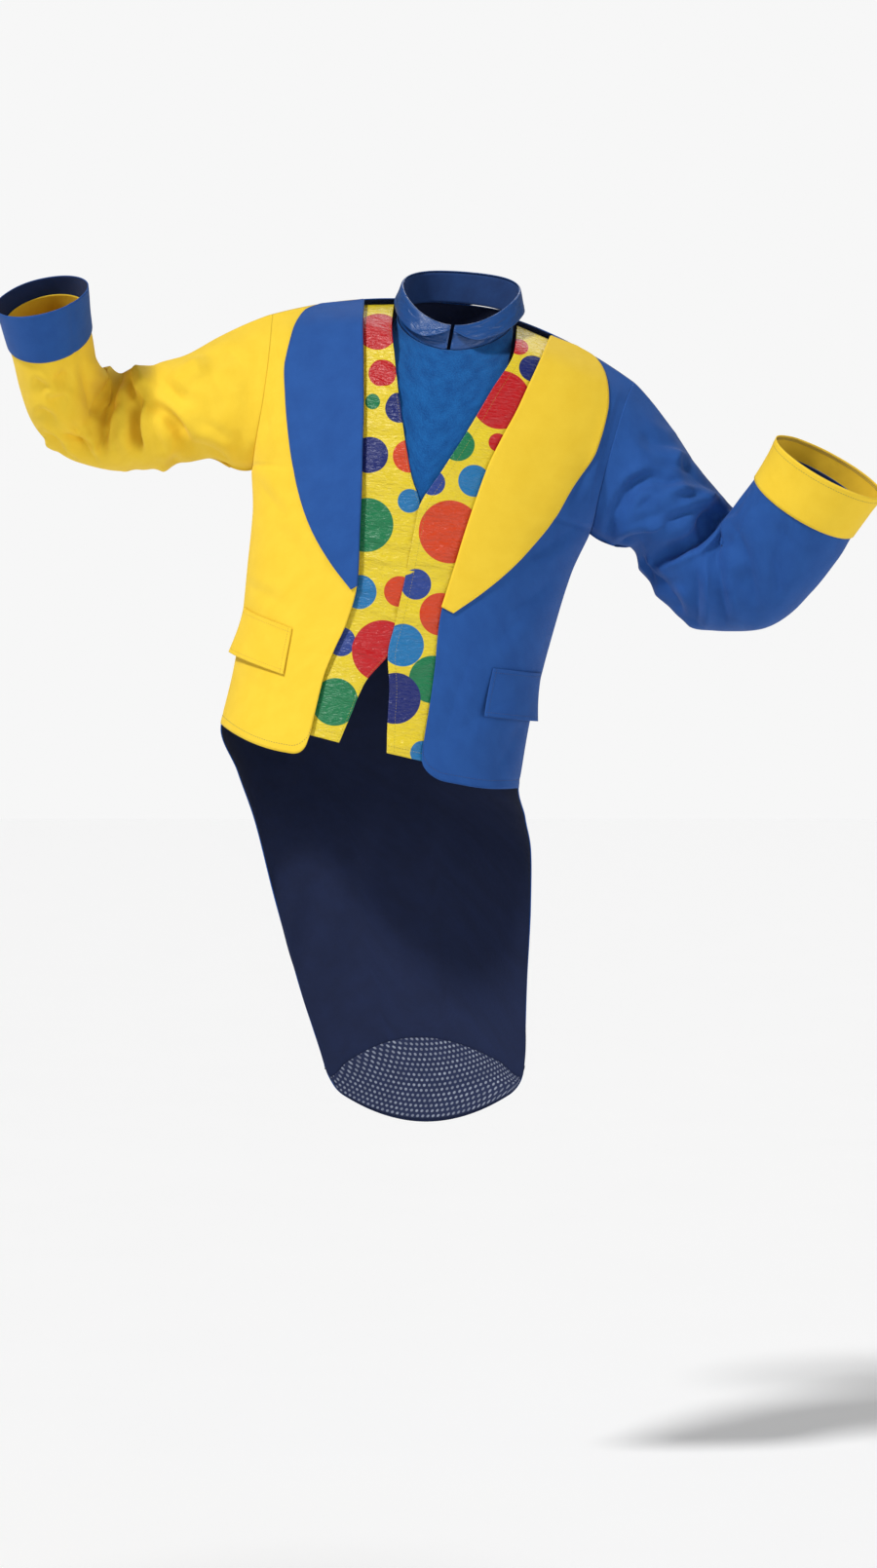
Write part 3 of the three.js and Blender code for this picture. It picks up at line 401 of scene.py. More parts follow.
class Board:
    # places nodes in one tree and joins them, so a material reads from left to right
    def __init__(self, tree):
        self.tree = tree
        self.column = 0

    def add(self, kind, inputs=None, **settings):
        node = self.tree.nodes.new(kind)
        node.location = (self.column, 0)
        self.column += 190
        for name, value in settings.items():
            setattr(node, name, value)
        for name, value in (inputs or {}).items():
            socket = node.inputs[name]
            if isinstance(value, bpy.types.NodeSocket):
                self.tree.links.new(value, socket)
            else:
                socket.default_value = value
        return node

    def math(self, operation, a, b=0.0):
        return self.add("ShaderNodeMath", {0: a, 1: b}, operation=operation).outputs[0]

    def blend(self, share, a, b):
        # sockets 6 and 7 are the two colours, output 2 the blended one
        return self.add("ShaderNodeMix", {0: share, 6: a, 7: b}, data_type="RGBA").outputs[2]

    def fallingEdge(self, value, start, end):
        settings = {"Value": value, "From Min": start, "From Max": end, "To Min": 1.0, "To Max": 0.0}
        return self.add("ShaderNodeMapRange", settings, interpolation_type="SMOOTHSTEP").outputs[0]


def newGroup(name, inputs, outputs):
    group = bpy.data.node_groups.new(name, "ShaderNodeTree")
    for label, value in inputs:
        socket = group.interface.new_socket(label, in_out="INPUT", socket_type="NodeSocketFloat")
        socket.default_value = value
    for label in outputs:
        group.interface.new_socket(label, in_out="OUTPUT", socket_type="NodeSocketFloat")
    board = Board(group)
    return group, board, board.add("NodeGroupInput")


def closeGroup(board, **values):
    end = board.add("NodeGroupOutput")
    for label, value in values.items():
        board.tree.links.new(value, end.inputs[label])


# how far the ribs slant, a full turn for each millimetre, and how much of each thing shows
twillShape = {"slant": 0.6, "turn": 6283.0, "rib": 0.25, "slub": 2.0, "wideTone": 0.7, "fineTone": 0.3}


def makeTwillGroup():
    shape = twillShape
    group, board, start = newGroup("twillWeave", [("Pitch", 1.0), ("Slub", 0.4)], ["Height", "Tone"])
    uv = board.add("ShaderNodeUVMap", uv_map="cut").outputs[0]
    split = board.add("ShaderNodeSeparateXYZ", {0: uv})
    along = board.math("ADD", split.outputs[0], board.math("MULTIPLY", split.outputs[1], shape["slant"]))
    turns = board.math("DIVIDE", board.math("MULTIPLY", along, shape["turn"]), start.outputs["Pitch"])
    rib = board.math("SINE", turns)
    slub = board.add("ShaderNodeTexNoise", {"Vector": uv, "Scale": 420.0, "Detail": 4.0, "Roughness": 0.65})
    lifted = board.math("MULTIPLY", slub.outputs["Fac"], start.outputs["Slub"])
    height = board.math("ADD", board.math("MULTIPLY", rib, shape["rib"]),
                        board.math("MULTIPLY", lifted, shape["slub"]))
    wide = board.add("ShaderNodeTexNoise", {"Vector": uv, "Scale": 34.0, "Detail": 5.0, "Roughness": 0.6})
    fine = board.add("ShaderNodeTexNoise", {"Vector": uv, "Scale": 900.0, "Detail": 2.0})
    tone = board.math("ADD", board.math("MULTIPLY", wide.outputs["Fac"], shape["wideTone"]),
                      board.math("MULTIPLY", fine.outputs["Fac"], shape["fineTone"]))
    closeGroup(board, Height=height, Tone=tone)
    return group


def makeCrumpleGroup():
    group, board, start = newGroup("softCrumple", [("Size", 30.0), ("Stretch", 1.0)], ["Height"])
    uv = board.add("ShaderNodeUVMap", uv_map="cut").outputs[0]
    split = board.add("ShaderNodeSeparateXYZ", {0: uv})
    stretched = board.math("MULTIPLY", split.outputs[1], start.outputs["Stretch"])
    place = board.add("ShaderNodeCombineXYZ", {0: split.outputs[0], 1: stretched}).outputs[0]
    scale = board.math("DIVIDE", 1000.0, start.outputs["Size"])
    noise = board.add("ShaderNodeTexNoise", {"Vector": place, "Scale": scale, "Detail": 3.0,
                                             "Roughness": 0.5, "Distortion": 0.6})
    closeGroup(board, Height=noise.outputs["Fac"])
    return group


twillWeave = makeTwillGroup()
softCrumple = makeCrumpleGroup()


def startMaterial(name):
    material = bpy.data.materials.new(name)
    material.use_nodes = True
    material.node_tree.nodes.clear()
    return material, Board(material.node_tree)


def placeGroup(board, group, **values):
    node = board.add("ShaderNodeGroup", node_tree=group)
    for label, value in values.items():
        node.inputs[label].default_value = value
    return node


def endMaterial(board, surface, colour, normal):
    shader = board.add("ShaderNodeBsdfPrincipled", {"Base Color": colour})
    if normal is not None:
        board.tree.links.new(normal, shader.inputs["Normal"])
    for label, value in surface.items():
        shader.inputs[label].default_value = value
    board.tree.links.new(shader.outputs[0], board.add("ShaderNodeOutputMaterial").inputs[0])


def clothBump(board, crumple, crumpleStrength, weave, weaveStrength, weaveHeight):
    soft = board.add("ShaderNodeBump", {"Strength": crumpleStrength, "Distance": 0.004,
                                        "Height": crumple.outputs["Height"]})
    return board.add("ShaderNodeBump", {"Strength": weaveStrength, "Distance": weaveHeight,
                                        "Height": weave.outputs["Height"],
                                        "Normal": soft.outputs[0]}).outputs[0]


def clothMaterial(name, plan):
    material, board = startMaterial(name)
    weave = placeGroup(board, twillWeave, Pitch=plan["pitch"], Slub=plan["slub"])
    crumple = placeGroup(board, softCrumple, Size=plan["crumple"], Stretch=plan["stretch"])
    tone = board.add("ShaderNodeMapRange", {"Value": weave.outputs["Tone"],
                                            "From Min": 0.3, "From Max": 0.7})
    colour = board.blend(tone.outputs[0], plan["dark"], plan["light"])
    normal = clothBump(board, crumple, plan["crumpleBump"], weave, plan["bump"], plan["bumpHeight"])
    endMaterial(board, plan["surface"], colour, normal)
    return material


clothSurface = {"Roughness": 0.82, "Specular IOR Level": 0.25,
                "Sheen Weight": 0.06, "Sheen Roughness": 0.45}
clothPlans = {
    "yellowCloth": {"light": linear(244, 207, 58), "dark": linear(237, 197, 46)},
    "yellowReverse": {"light": linear(238, 196, 52), "dark": linear(222, 178, 40)},
    "blueCloth": {"light": linear(35, 85, 157), "dark": linear(27, 73, 142)},
    "blueReverse": {"light": linear(24, 46, 92), "dark": linear(18, 36, 76)},
    # the back's reverse: the cloth's own reverse colour, darkened further with painted shade because the
    # tail's inside lies in shade between the legs
    "tailReverseWithPaintedShade": {"light": linear(20, 33, 68), "dark": linear(15, 26, 56)},
    "collarReverse": {"light": linear(28, 62, 116), "dark": linear(20, 46, 92)},
}
clothLook = {"pitch": 1.1, "slub": 0.5, "crumple": 60.0, "crumpleBump": 0.16, "stretch": 1.4,
             "bump": 0.4, "bumpHeight": 0.0006}
cloths = {
    name: clothMaterial(name, {**clothLook, **colours, "surface": clothSurface})
    for name, colours in clothPlans.items()
}
yellow = {"slot": "yellow_cloth", "outside": cloths["yellowCloth"], "inside": cloths["yellowReverse"]}
blue = {"slot": "blue_cloth", "outside": cloths["blueCloth"], "inside": cloths["blueReverse"]}


def threadMaterial(name, light, dark):
    material, board = startMaterial(name)
    place = board.add("ShaderNodeTexCoord").outputs["Object"]
    noise = board.add("ShaderNodeTexNoise", {"Vector": place, "Scale": 900.0, "Detail": 2.0})
    colour = board.blend(noise.outputs["Fac"], dark, light)
    bump = board.add("ShaderNodeBump", {"Strength": 0.4, "Distance": 0.0002, "Height": noise.outputs["Fac"]})
    endMaterial(board, {"Roughness": 0.6, "Sheen Weight": 0.2}, colour, bump.outputs[0])
    return material


threads = {
    "grey": threadMaterial("greyThread", linear(120, 112, 70), linear(84, 80, 60)),
    "navy": threadMaterial("navyThread", linear(26, 48, 96), linear(16, 32, 70)),
    "yellow": threadMaterial("yellowThread", linear(214, 170, 40), linear(186, 140, 24)),
    "blue": threadMaterial("blueThread", linear(34, 70, 132), linear(24, 52, 104)),
    "dark": threadMaterial("overlockThread", linear(70, 70, 74), linear(34, 34, 40)),
    "satin": threadMaterial("satinThread", linear(176, 160, 40), linear(140, 126, 30)),
}
print("materials of the plain cloth and the threads are made")


# The trunk: two fronts and a back with its tail

# in the trunk's own directions: across and up, as the coat leans
trunkCreases = [
    # startP startQ endP endQ depth width bow facing
    (-196, -372, -132, -392, 1.4, 9, 2, -1),
    (-188, -398, -120, -428, 1.2, 10, 3, -1),
    (-170, -300, -104, -352, 1.3, 12, -4, -1),
    (-182, -480, -100, -508, 1.0, 12, 3, -1),
    (-196, -250, -150, -290, 1.8, 9, 3, -1),
    (-150, -440, -92, -530, 0.9, 12, 0, -1),
    (190, -236, 140, -290, 2.0, 9, -3, -1),
    (178, -300, 128, -360, 1.6, 11, -3, -1),
    (166, -340, 116, -404, 1.3, 12, 3, -1),
    (150, -448, 86, -520, 1.2, 12, 0, -1),
    (176, -470, 150, -548, 1.5, 11, 0, -1),
    (98, -400, 82, -540, 1.0, 11, 2, -1),
    (196, -150, 176, -224, 1.6, 8, 2, -1),
    (-204, -150, -190, -220, 1.4, 8, -2, -1),
    # the raised seam allowance beside each armhole
    (-212, -58, -200, -222, -0.7, 4, -3, -1),
    (212, -62, 200, -222, -0.7, 4, 3, -1),
    # the back: pulls from the armholes and across the waist
    (-170, -140, -60, -210, 1.8, 15, 4, 1),
    (160, -130, 40, -196, 1.8, 14, -4, 1),
    (-186, -236, -90, -300, 2.0, 13, 3, 1),
    (186, -240, 100, -300, 2.2, 12, -4, 1),
    (-150, -372, -20, -392, 1.6, 12, 3, 1),
    (140, -380, 10, -404, 1.5, 13, -3, 1),
    (-120, -420, 60, -436, 1.3, 12, 4, 1),
    (-90, -470, -110, -640, 2.0, 18, 3, 1),
    (80, -480, 96, -700, 2.2, 18, -3, 1),
    (10, -560, -8, -820, 1.8, 20, 3, 1),
    (-60, -700, -70, -930, 1.8, 16, -3, 1),
]


trunkLook = {"creases": 1.5, "waves": 0.9, "waveLength": 110, "seed": 3}


def trunkRelief(points, normals):
    look = trunkLook
    p, q = leanedPlace(points)
    relief = creaseRelief(p, q, normals[..., 1], trunkCreases)
    return look["creases"] * relief + look["waves"] * softWaves(p, q, look["seed"], look["waveLength"])


rightFrontEdge = table("height x", [
    (0, -114), (-11, -113), (-55, -103), (-128, -88), (-220, -72), (-300, -60),
    (-365, -51), (-402, -55), (-440, -64), (-473, -70), (-570, -74),
])
leftFrontEdge = table("height x", [
    (0, 122), (-12, 121), (-57, 111), (-97, 103), (-146, 88), (-193, 75), (-241, 67),
    (-288, 62), (-336, 56), (-374, 52), (-441, 57), (-487, 59), (-570, 61),
])
frontPlans = {
    "rightFront": {
        **yellow, "nodes": ["right_front"], "flat": (0.33, 0.60), "area": 0.105, "held": "hung",
        "on": ["back"], "thread": "grey", "side": -1, "edge": rightFrontEdge,
        "atSide": -547, "lowest": -567, "lowestX": 108, "corner": 24},
    "leftFront": {
        **blue, "nodes": ["left_front"], "flat": (0.33, 0.60), "area": 0.105, "held": "hung",
        "on": ["back"], "thread": "navy", "side": 1, "edge": leftFrontEdge,
        "atSide": -556, "lowest": -567, "lowestX": 118, "corner": 30},
}
frontSampling = {"columns": 104, "rows": 200, "hemStitch": 10, "hemDepth": 0.35, "shapingRow": 9,
                 "topFade": 0.04, "sideFade": 0.06}
hemShape = {"grooveWidth": 1.4, "proud": 0.6, "turnedEdge": 2.5}
downward = leaned(0, 0, -1)


def hemRelief(grid, distance, depth):
    # the needle line presses in and the folded hem stands a little proud of it
    shape = hemShape
    away = np.flip(lengthsFrom(np.flip(grid, 0), 0), 0)
    groove = np.exp(-((away - distance) / shape["grooveWidth"]) ** 2)
    proud = shape["proud"] * (away < distance) * smoothStep(0, shape["turnedEdge"], away)
    return depth * (proud - groove)


def frontGrid(plan):
    side, edge = plan["side"], plan["edge"]
    u, v = acrossShares(frontSampling["columns"]), downShares(frontSampling["rows"])
    half = lambda row: read(bodyRows, "row", "half", row)
    shift = lambda row: read(bodyRows, "row", "shift", row)

    def acrossAt(row):
        start = np.full(np.shape(row), side / 2)
        for _ in range(search["rounds"]):
            start = (read(edge, "height", "x", heightOnBody(row, start)) - shift(row)) / half(row)
        return side * np.sin(mix(np.arcsin(np.abs(start)), math.pi / 2, u))

    def hemHeight(x, frontX):
        lowest = plan["lowestX"]
        past = np.maximum(0, (np.abs(x) - lowest) / (half(frontHemRow) - lowest))
        inset = np.maximum(0, plan["corner"] - np.abs(x - frontX))
        corner = plan["corner"] - np.sqrt(plan["corner"] ** 2 - inset ** 2)
        return mix(plan["lowest"], plan["atSide"], past ** 2) + corner

    nominal = v * frontHemRow
    across = acrossAt(nominal)
    bottom = acrossAt(np.full((1, 1), float(frontHemRow)))
    bottomX = shift(frontHemRow) + bottom * half(frontHemRow)
    hemRow = rowAt(bottom, hemHeight(bottomX, bottomX[:, :1]))
    shaping = frontSampling["shapingRow"]
    lower = np.maximum(0, (nominal - shaping) / (frontHemRow - shaping))
    row = np.where(nominal <= shaping, nominal, mix(shaping, hemRow, lower))
    return bodyForm(row, across, -1)


def frontPiece(name, plan):
    sign = -plan["side"]
    grid = frontGrid(plan)
    normals = normalsOf(grid, sign)
    look = frontSampling
    topFade = smoothStep(0, look["topFade"], downShares(look["rows"]))
    sideFade = smoothStep(0, look["sideFade"], 1 - acrossShares(look["columns"]))
    grid = grid + normals * (trunkRelief(grid, normals) * topFade * sideFade)[..., None]
    grid = grid + normals * hemRelief(grid, look["hemStitch"], look["hemDepth"])[..., None]
    piece, normals = clothShell(name, grid, sign, layers["wall"], cutTop=downward)
    finishPiece(piece, plan)
    stitchEdge(name + "HemStitches", grid, normals, "bottom", look["hemStitch"],
               topStitch, threads[plan["thread"]])


topStitch = {"pitch": 3.4, "stitch": 2.5, "radius": 0.28}
for name, plan in frontPlans.items():
    frontPiece(name, plan)

# the back's inside takes the reverse that is darkened with painted shade
backPlan = {
    **blue, "inside": cloths["tailReverseWithPaintedShade"], "nodes": ["back"], "flat": (0.66, 1.08), "area": 0.45,
    "held": "hung", "on": ["rightFront", "leftFront"], "columns": 150, "rows": 240, "hemStitch": 10,
    "hemDepth": 0.3, "topRows": 0.8, "hemRow": 16.2, "sideFade": 0.05,
}


def backPiece(plan):
    u = acrossShares(plan["columns"])
    rows = np.linspace(0, lastRow, plan["rows"] + 1)[:, None]
    grid = bodyForm(rows, np.sin(mix(-math.pi / 2, math.pi / 2, u)), 1)
    normals = normalsOf(grid, 1)
    endFade = smoothStep(0, plan["topRows"], rows) * (1 - smoothStep(plan["hemRow"], lastRow, rows))
    sideFade = smoothStep(0, plan["sideFade"], u) * smoothStep(0, plan["sideFade"], 1 - u)
    grid = grid + normals * (trunkRelief(grid, normals) * endFade * sideFade)[..., None]
    grid = grid + normals * hemRelief(grid, plan["hemStitch"], plan["hemDepth"])[..., None]
    piece, normals = clothShell("back", grid, 1, layers["wall"], cutTop=downward)
    finishPiece(piece, plan)
    stitchEdge("tailHemStitches", grid, normals, "bottom", plan["hemStitch"], topStitch, threads["navy"])


backPiece(backPlan)
print("fronts and back are made")


# The facing inside the tail's hem, with its dotted fusible backing

facingPlan = {
    "nodes": ["tail_facing"], "slot": "tail_facing", "inside": cloths["blueReverse"],
    "flat": (0.26, 0.11), "area": 0.02, "held": "laid", "on": ["back"],
    "middleHeight": 100, "cornerHeight": 6, "taper": 0.6, "reach": 0.85, "hemInset": 4, "clear": 1.0,
    "columns": 90, "rows": 40, "dotPitch": 6.4, "dotRadius": 1.7, "dotEdge": (0.7, 1.3),
    "dotWear": 1.3, "dotHeight": 1.5,
}


def facingMaterial():
    material, board = startMaterial("tailFacingCloth")
    plan = facingPlan
    weave = placeGroup(board, twillWeave, Pitch=1.2, Slub=0.5)
    uv = board.add("ShaderNodeUVMap", uv_map="cut").outputs[0]
    split = board.add("ShaderNodeSeparateXYZ", {0: uv})
    pitch = plan["dotPitch"] * mm
    rowsUp = board.math("DIVIDE", split.outputs[1], pitch)
    odd = board.math("MULTIPLY", board.math("MODULO", board.math("FLOOR", rowsUp), 2.0), 0.5)
    along = board.math("ADD", board.math("DIVIDE", split.outputs[0], pitch), odd)
    fromDotU = board.math("SUBTRACT", board.math("FRACT", along), 0.5)
    fromDotV = board.math("SUBTRACT", board.math("FRACT", rowsUp), 0.5)
    apart = board.math("SQRT", board.math("ADD", board.math("MULTIPLY", fromDotU, fromDotU),
                                          board.math("MULTIPLY", fromDotV, fromDotV)))
    radius = plan["dotRadius"] / plan["dotPitch"]
    dot = board.fallingEdge(apart, *(radius * share for share in plan["dotEdge"]))
    worn = board.add("ShaderNodeTexNoise", {"Vector": uv, "Scale": 60.0, "Detail": 3.0}).outputs["Fac"]
    share = board.math("MULTIPLY", dot, board.math("MULTIPLY", worn, plan["dotWear"]))
    base = board.blend(weave.outputs["Tone"], linear(26, 34, 62), linear(38, 48, 82))
    colour = board.blend(share, base, linear(150, 158, 176))
    raised = board.math("MULTIPLY", dot, plan["dotHeight"])
    height = board.math("ADD", weave.outputs["Height"], raised)
    bump = board.add("ShaderNodeBump", {"Strength": 0.5, "Distance": 0.0006, "Height": height})
    endMaterial(board, clothSurface, colour, bump.outputs[0])
    return material


def outwardAt(across, row, side):
    nudge = {"across": 0.01, "row": 0.02}
    place = lambda a, r: bodyForm(r, a, side)
    toSide = place(across + nudge["across"], row) - place(across - nudge["across"], row)
    toTop = place(across, row - nudge["row"]) - place(across, row + nudge["row"])
    return unit(np.cross(toSide, toTop))


def tailFacingPiece():
    plan = facingPlan
    u = np.linspace(-1, 1, plan["columns"] + 1)[None, :]
    v = downShares(plan["rows"])
    across = np.sin(u * plan["reach"] * math.pi / 2)
    tall = plan["cornerHeight"] + plan["middleHeight"] * (1 - across ** 2) ** plan["taper"]
    raised = plan["hemInset"] + v * tall
    middles = bodyRows["middle"]
    lastHeight, nextHeight = middles[-2] - middles[-1], middles[-3] - middles[-2]
    pastLast = np.maximum(0, raised - lastHeight) / nextHeight
    row = lastRow - np.minimum(raised / lastHeight, 1) - pastLast
    across = np.broadcast_to(across, row.shape)
    base = bodyForm(row, across, 1)
    inward = outwardAt(across, row, 1)
    relief = trunkRelief(base, -inward) * (1 - smoothStep(backPlan["hemRow"], lastRow, row))
    grid = base + inward * (layers["wall"] + plan["clear"] + layers["satinWall"] - relief)[..., None]
    piece, normals = clothShell("tailFacing", grid, 1, layers["satinWall"])
    finishPiece(piece, {**plan, "outside": facingMaterial()})


tailFacingPiece()
print("tail facing is made")


# Sleeves and cuffs

rightArm = table("ring x y z inPlane beside", [
    (0, -233, 0, -100, 63, 63), (1, -275, 8, -108, 70, 72), (2, -320, 22, -118, 64, 64),
    (3, -368, 40, -127, 62, 64), (4, -410, 54, -131, 60, 62), (5, -446, 55, -126, 55, 62),
    (6, -470, 36, -109, 50, 62), (7, -480, 8, -86, 48, 62), (8, -484, -20, -60, 48, 60),
    (9, -488, -45, -33, 50, 58), (10, -492, -69, -4, 53, 57),
])
leftArm = table("ring x y z inPlane beside", [
    (0, 182, 0, -182, 63, 63), (1, 222, 10, -214, 70, 70), (2, 261, 22, -248, 63, 62),
    (3, 293, 31, -290, 70, 62), (4, 322, 30, -319, 73, 60), (5, 350, 14, -321, 72, 56),
    (6, 378, -10, -299, 70, 52), (7, 400, -33, -269, 70, 48), (8, 419, -54, -240, 68, 45),
    (9, 432, -67, -220, 68, 43), (10, 444, -80, -200, 70, 42),
])
# the largest folds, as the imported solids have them: start, end, depth, width, facing
rightFolds = [
    (-410, -72, -430, -168, 9, 11, -1), (-392, -88, -386, -165, 8, 11, -1),
    (-374, -108, -316, -178, 7, 12, -1), (-330, -100, -296, -142, 5, 14, -1),
    (-420, -116, -455, -160, 6, 12, -1), (-400, -70, -375, -160, 8, 14, 1),
    (-340, -80, -300, -150, 6, 14, 1),
]
leftFolds = [
    (186, -240, 262, -190, 7, 13, -1), (325, -250, 250, -304, 9, 12, -1),
    (322, -282, 286, -308, 6, 11, -1), (230, -303, 268, -340, 6, 12, -1),
    (340, -325, 364, -382, 6, 13, -1), (320, -250, 262, -330, 8, 14, 1),
    (345, -260, 350, -350, 6, 14, 1),
]
# finer creases on top of them, seen from the front or the back
rightCreases = [
    # startX startZ endX endZ depth width bow facing; a bulge has a depth below zero
    (-408, -75, -431, -173, 15, 8, 3, -1),
    (-394, -75, -388, -111, 12.5, 6, 1, -1),
    (-383, -110, -382, -173, 19, 5, 1, -1),
    (-378, -112, -321, -167, 10, 8, -6, -1),
    (-323, -164, -272, -189, 5.6, 9, -3, -1),
    (-356, -82, -319, -118, 7.5, 10, 4, -1),
    (-405, -114, -429, -166, 6.2, 4, 2, -1),
    (-400, -80, -367, -100, 3.8, 5, 2, -1),
    (-369, -128, -349, -177, 5, 8, 3, -1),
    (-502, -148, -472, -167, 8.4, 5, 2, -1),
    (-493, -167, -460, -183, 8.4, 5, -2, -1),
    (-474, -152, -442, -162, 6.6, 5, 2, -1),
    (-505, -126, -481, -138, 5.7, 6, -2, -1),
    (-460, -140, -437, -186, 7.5, 6, 2, -1),
    (-483, -182, -446, -198, 7.5, 5, 2, -1),
    (-504, -91, -486, -102, 5.7, 7, 2, -1),
    (-479, -96, -460, -87, 4.7, 7, -2, -1),
    (-488, -116, -465, -109, 5.7, 6, 2, -1),
    (-446, -73, -432, -128, 6.6, 9, 3, -1),
    (-467, -73, -462, -105, 4.7, 8, 2, -1),
    (-362, -191, -335, -182, 6.2, 8, 2, -1),
    (-295, -73, -265, -128, 3.1, 12, 4, -1),
    (-281, -49, -251, -82, 3.1, 10, -3, -1),
    (-260, -152, -239, -186, 3.8, 9, 2, -1),
    (-232, -41, -239, -175, 3.1, 6, 3, -1),
    (-311, -140, -270, -166, 3.1, 9, -3, -1),
    # bulges between the folds, which also show in the outline
    (-388, -68, -374, -103, -12.5, 12, 0, 0),
    (-316, -61, -304, -87, -7.5, 15, 0, 0),
    (-424, -61, -423, -91, -7.5, 9, 0, 0),
    (-500, -156, -490, -173, -6.2, 7, 0, 0),
    (-414, -196, -407, -207, -6.2, 14, 0, 0),
    (-360, -186, -349, -203, -7.5, 13, 0, 0),
    (-418, -128, -442, -177, -6.2, 8, 0, -1),
    (-360, -123, -335, -166, -6.2, 9, 0, -1),
    (-420, -70, -404, -130, 8.8, 8, 3, 1),
    (-390, -78, -360, -150, 8.8, 8, -4, 1),
    (-356, -84, -320, -140, 6.2, 9, 3, 1),
    (-440, -90, -436, -160, 6.2, 8, 2, 1),
    (-300, -60, -270, -130, 3.8, 12, 3, 1),
    (-480, -96, -450, -150, 5, 8, -3, 1),
    (-470, -60, -440, -84, 3.8, 8, 2, 1),
    (-330, -60, -350, -110, 3.8, 10, 2, 1),
]
leftCreases = [
    (179, -277, 202, -224, 8, 7, -4, -1),
    (200, -225, 235, -203, 8, 7, -3, -1),
    (233, -205, 270, -209, 6.4, 7, 2, -1),
    (193, -291, 244, -269, 8, 7, -3, -1),
    (242, -270, 305, -241, 9.6, 7, -4, -1),
    (216, -247, 258, -224, 7.2, 7, -4, -1),
    (256, -226, 298, -227, 6.4, 6, 2, -1),
    (328, -245, 295, -279, 20.8, 8, 3, -1),
    (298, -275, 240, -307, 12.8, 7, -4, -1),
    (321, -259, 284, -298, 11.2, 6, 2, -1),
    (219, -298, 263, -340, 9.6, 8, 3, -1),
    (256, -338, 274, -375, 7.2, 8, -2, -1),
    (228, -324, 251, -363, 6.4, 7, 2, -1),
    (286, -307, 290, -393, 8, 9, -4, -1),
    (330, -263, 358, -358, 8, 13, -4, -1),
    (312, -291, 328, -384, 6.4, 10, 3, -1),
    (365, -198, 333, -252, 4.8, 4, 2, -1),
    (393, -245, 400, -333, 4.8, 12, 3, -1),
    (374, -291, 386, -361, 4.8, 10, -3, -1),
    (186, -152, 212, -198, 4, 12, 4, -1),
    (223, -152, 270, -166, 4.8, 10, 3, -1),
    (270, -177, 314, -221, 5.6, 8, 3, -1),
    (200, -338, 233, -291, 4.8, 8, 3, -1),
    (184, -105, 200, -152, 4, 10, 3, -1),
    # bulges between the folds
    (272, -173, 263, -191, -8, 10, 0, 0),
    (314, -224, 302, -238, -7, 8, 0, 0),
    (226, -312, 237, -305, -6, 12, 0, 0),
    (237, -349, 249, -342, -5, 14, 0, 0),
    (284, -389, 288, -379, -5, 16, 0, 0),
    (228, -235, 284, -217, -8, 8, 0, -1),
    (212, -277, 277, -254, -8, 8, 0, -1),
    (302, -303, 309, -384, -6.4, 10, 0, -1),
    (320, -246, 280, -300, 11.2, 8, 3, 1),
    (330, -262, 318, -340, 9.6, 8, -3, 1),
    (350, -270, 360, -340, 8, 9, 2, 1),
    (240, -220, 210, -280, 6.4, 11, 3, 1),
    (280, -230, 250, -310, 7.2, 10, -3, 1),
    (390, -240, 400, -320, 5.6, 9, 3, 1),
    (300, -330, 340, -372, 6.4, 9, 2, 1),
    (226, -262, 262, -320, 5.6, 9, -2, 1),
]
sleeveCut = {"flat": (0.46, 0.50), "area": 0.18, "held": "hung"}
sleevePlans = {
    "right": {
        "arm": rightArm, "folds": rightFolds, "creases": rightCreases, "side": -1, "sleeveEnd": 9.4,
        "cuffStart": 8.9, "cuffEnd": 10, "tip": 24, "tipAngle": 210, "seed": 11,
        "sleeve": {**yellow, **sleeveCut, "nodes": ["right_sleeve", "right_sleeve_lower"],
                   "on": ["rightFront", "back"]},
        "cuff": {**blue, "nodes": ["right_cuff"], "flat": (0.37, 0.06), "area": 0.016, "held": "laid",
                 "on": ["rightSleeve"], "thread": None}},
    "left": {
        "arm": leftArm, "folds": leftFolds, "creases": leftCreases, "side": 1, "sleeveEnd": 9,
        "cuffStart": 7.9, "cuffEnd": 10, "tip": 4, "tipAngle": 0, "seed": 12,
        "sleeve": {**blue, **sleeveCut, "nodes": ["left_sleeve"], "on": ["leftFront", "back"]},
        "cuff": {**yellow, "nodes": ["left_cuff"], "flat": (0.38, 0.06), "area": 0.018, "held": "laid",
                 "on": ["leftSleeve"], "thread": "grey"}},
}
overlockStitch = {"pitch": 2.6, "stitch": 1.9, "radius": 0.42}
sleeveSampling = {
    "around": 190, "along": 230, "settlesBy": 0.8, "cuffFade": (0.7, 0.05), "deepest": -15, "highest": 9,
    "waves": 1.1, "waveLength": 70, "waveSlant": 0.7,
    "crossedBelow": 0.25, "spreadRounds": 60, "spreadGain": 6, "mostSpread": 0.95, "unfoldRounds": 500,
}
cuffSampling = {
    "rows": 22, "rise": 1.2, "clear": 1.0, "flare": 1.5, "seamX": -454, "seamWidth": 2.0, "seamDepth": 0.8,
    "waves": 0.9, "waveLength": 60, "waveSeed": 5, "wavesFrom": 0.6, "stitch": 7, "overlock": (2.2, 3.6, 5.0),
}
tubeShape = {"reach": 0.3, "bendStart": 1.5, "bendEnd": 1, "sweepEnd": 2, "foldsStart": 1.2, "foldsEnd": 0.8}
foldShape = {"starts": (-0.25, 0.2), "ends": (0.8, 1.25), "turnsAway": 0.5}
armholeSamples = 24


def armhole(share, side):
    rowsDown = armpitRow * 2 * np.asarray(share, float)
    down = rowsDown <= armpitRow
    row = np.where(down, rowsDown, armpitRow * 2 - rowsDown)
    place = np.where(down[..., None], bodyForm(row, float(side), -1), bodyForm(row, float(side), 1))
    return place + leaned(side, 0, 0) * layers["seamGap"]


def armholeMiddle(side):
    return armhole(np.arange(armholeSamples) / armholeSamples, side).mean(axis=0)


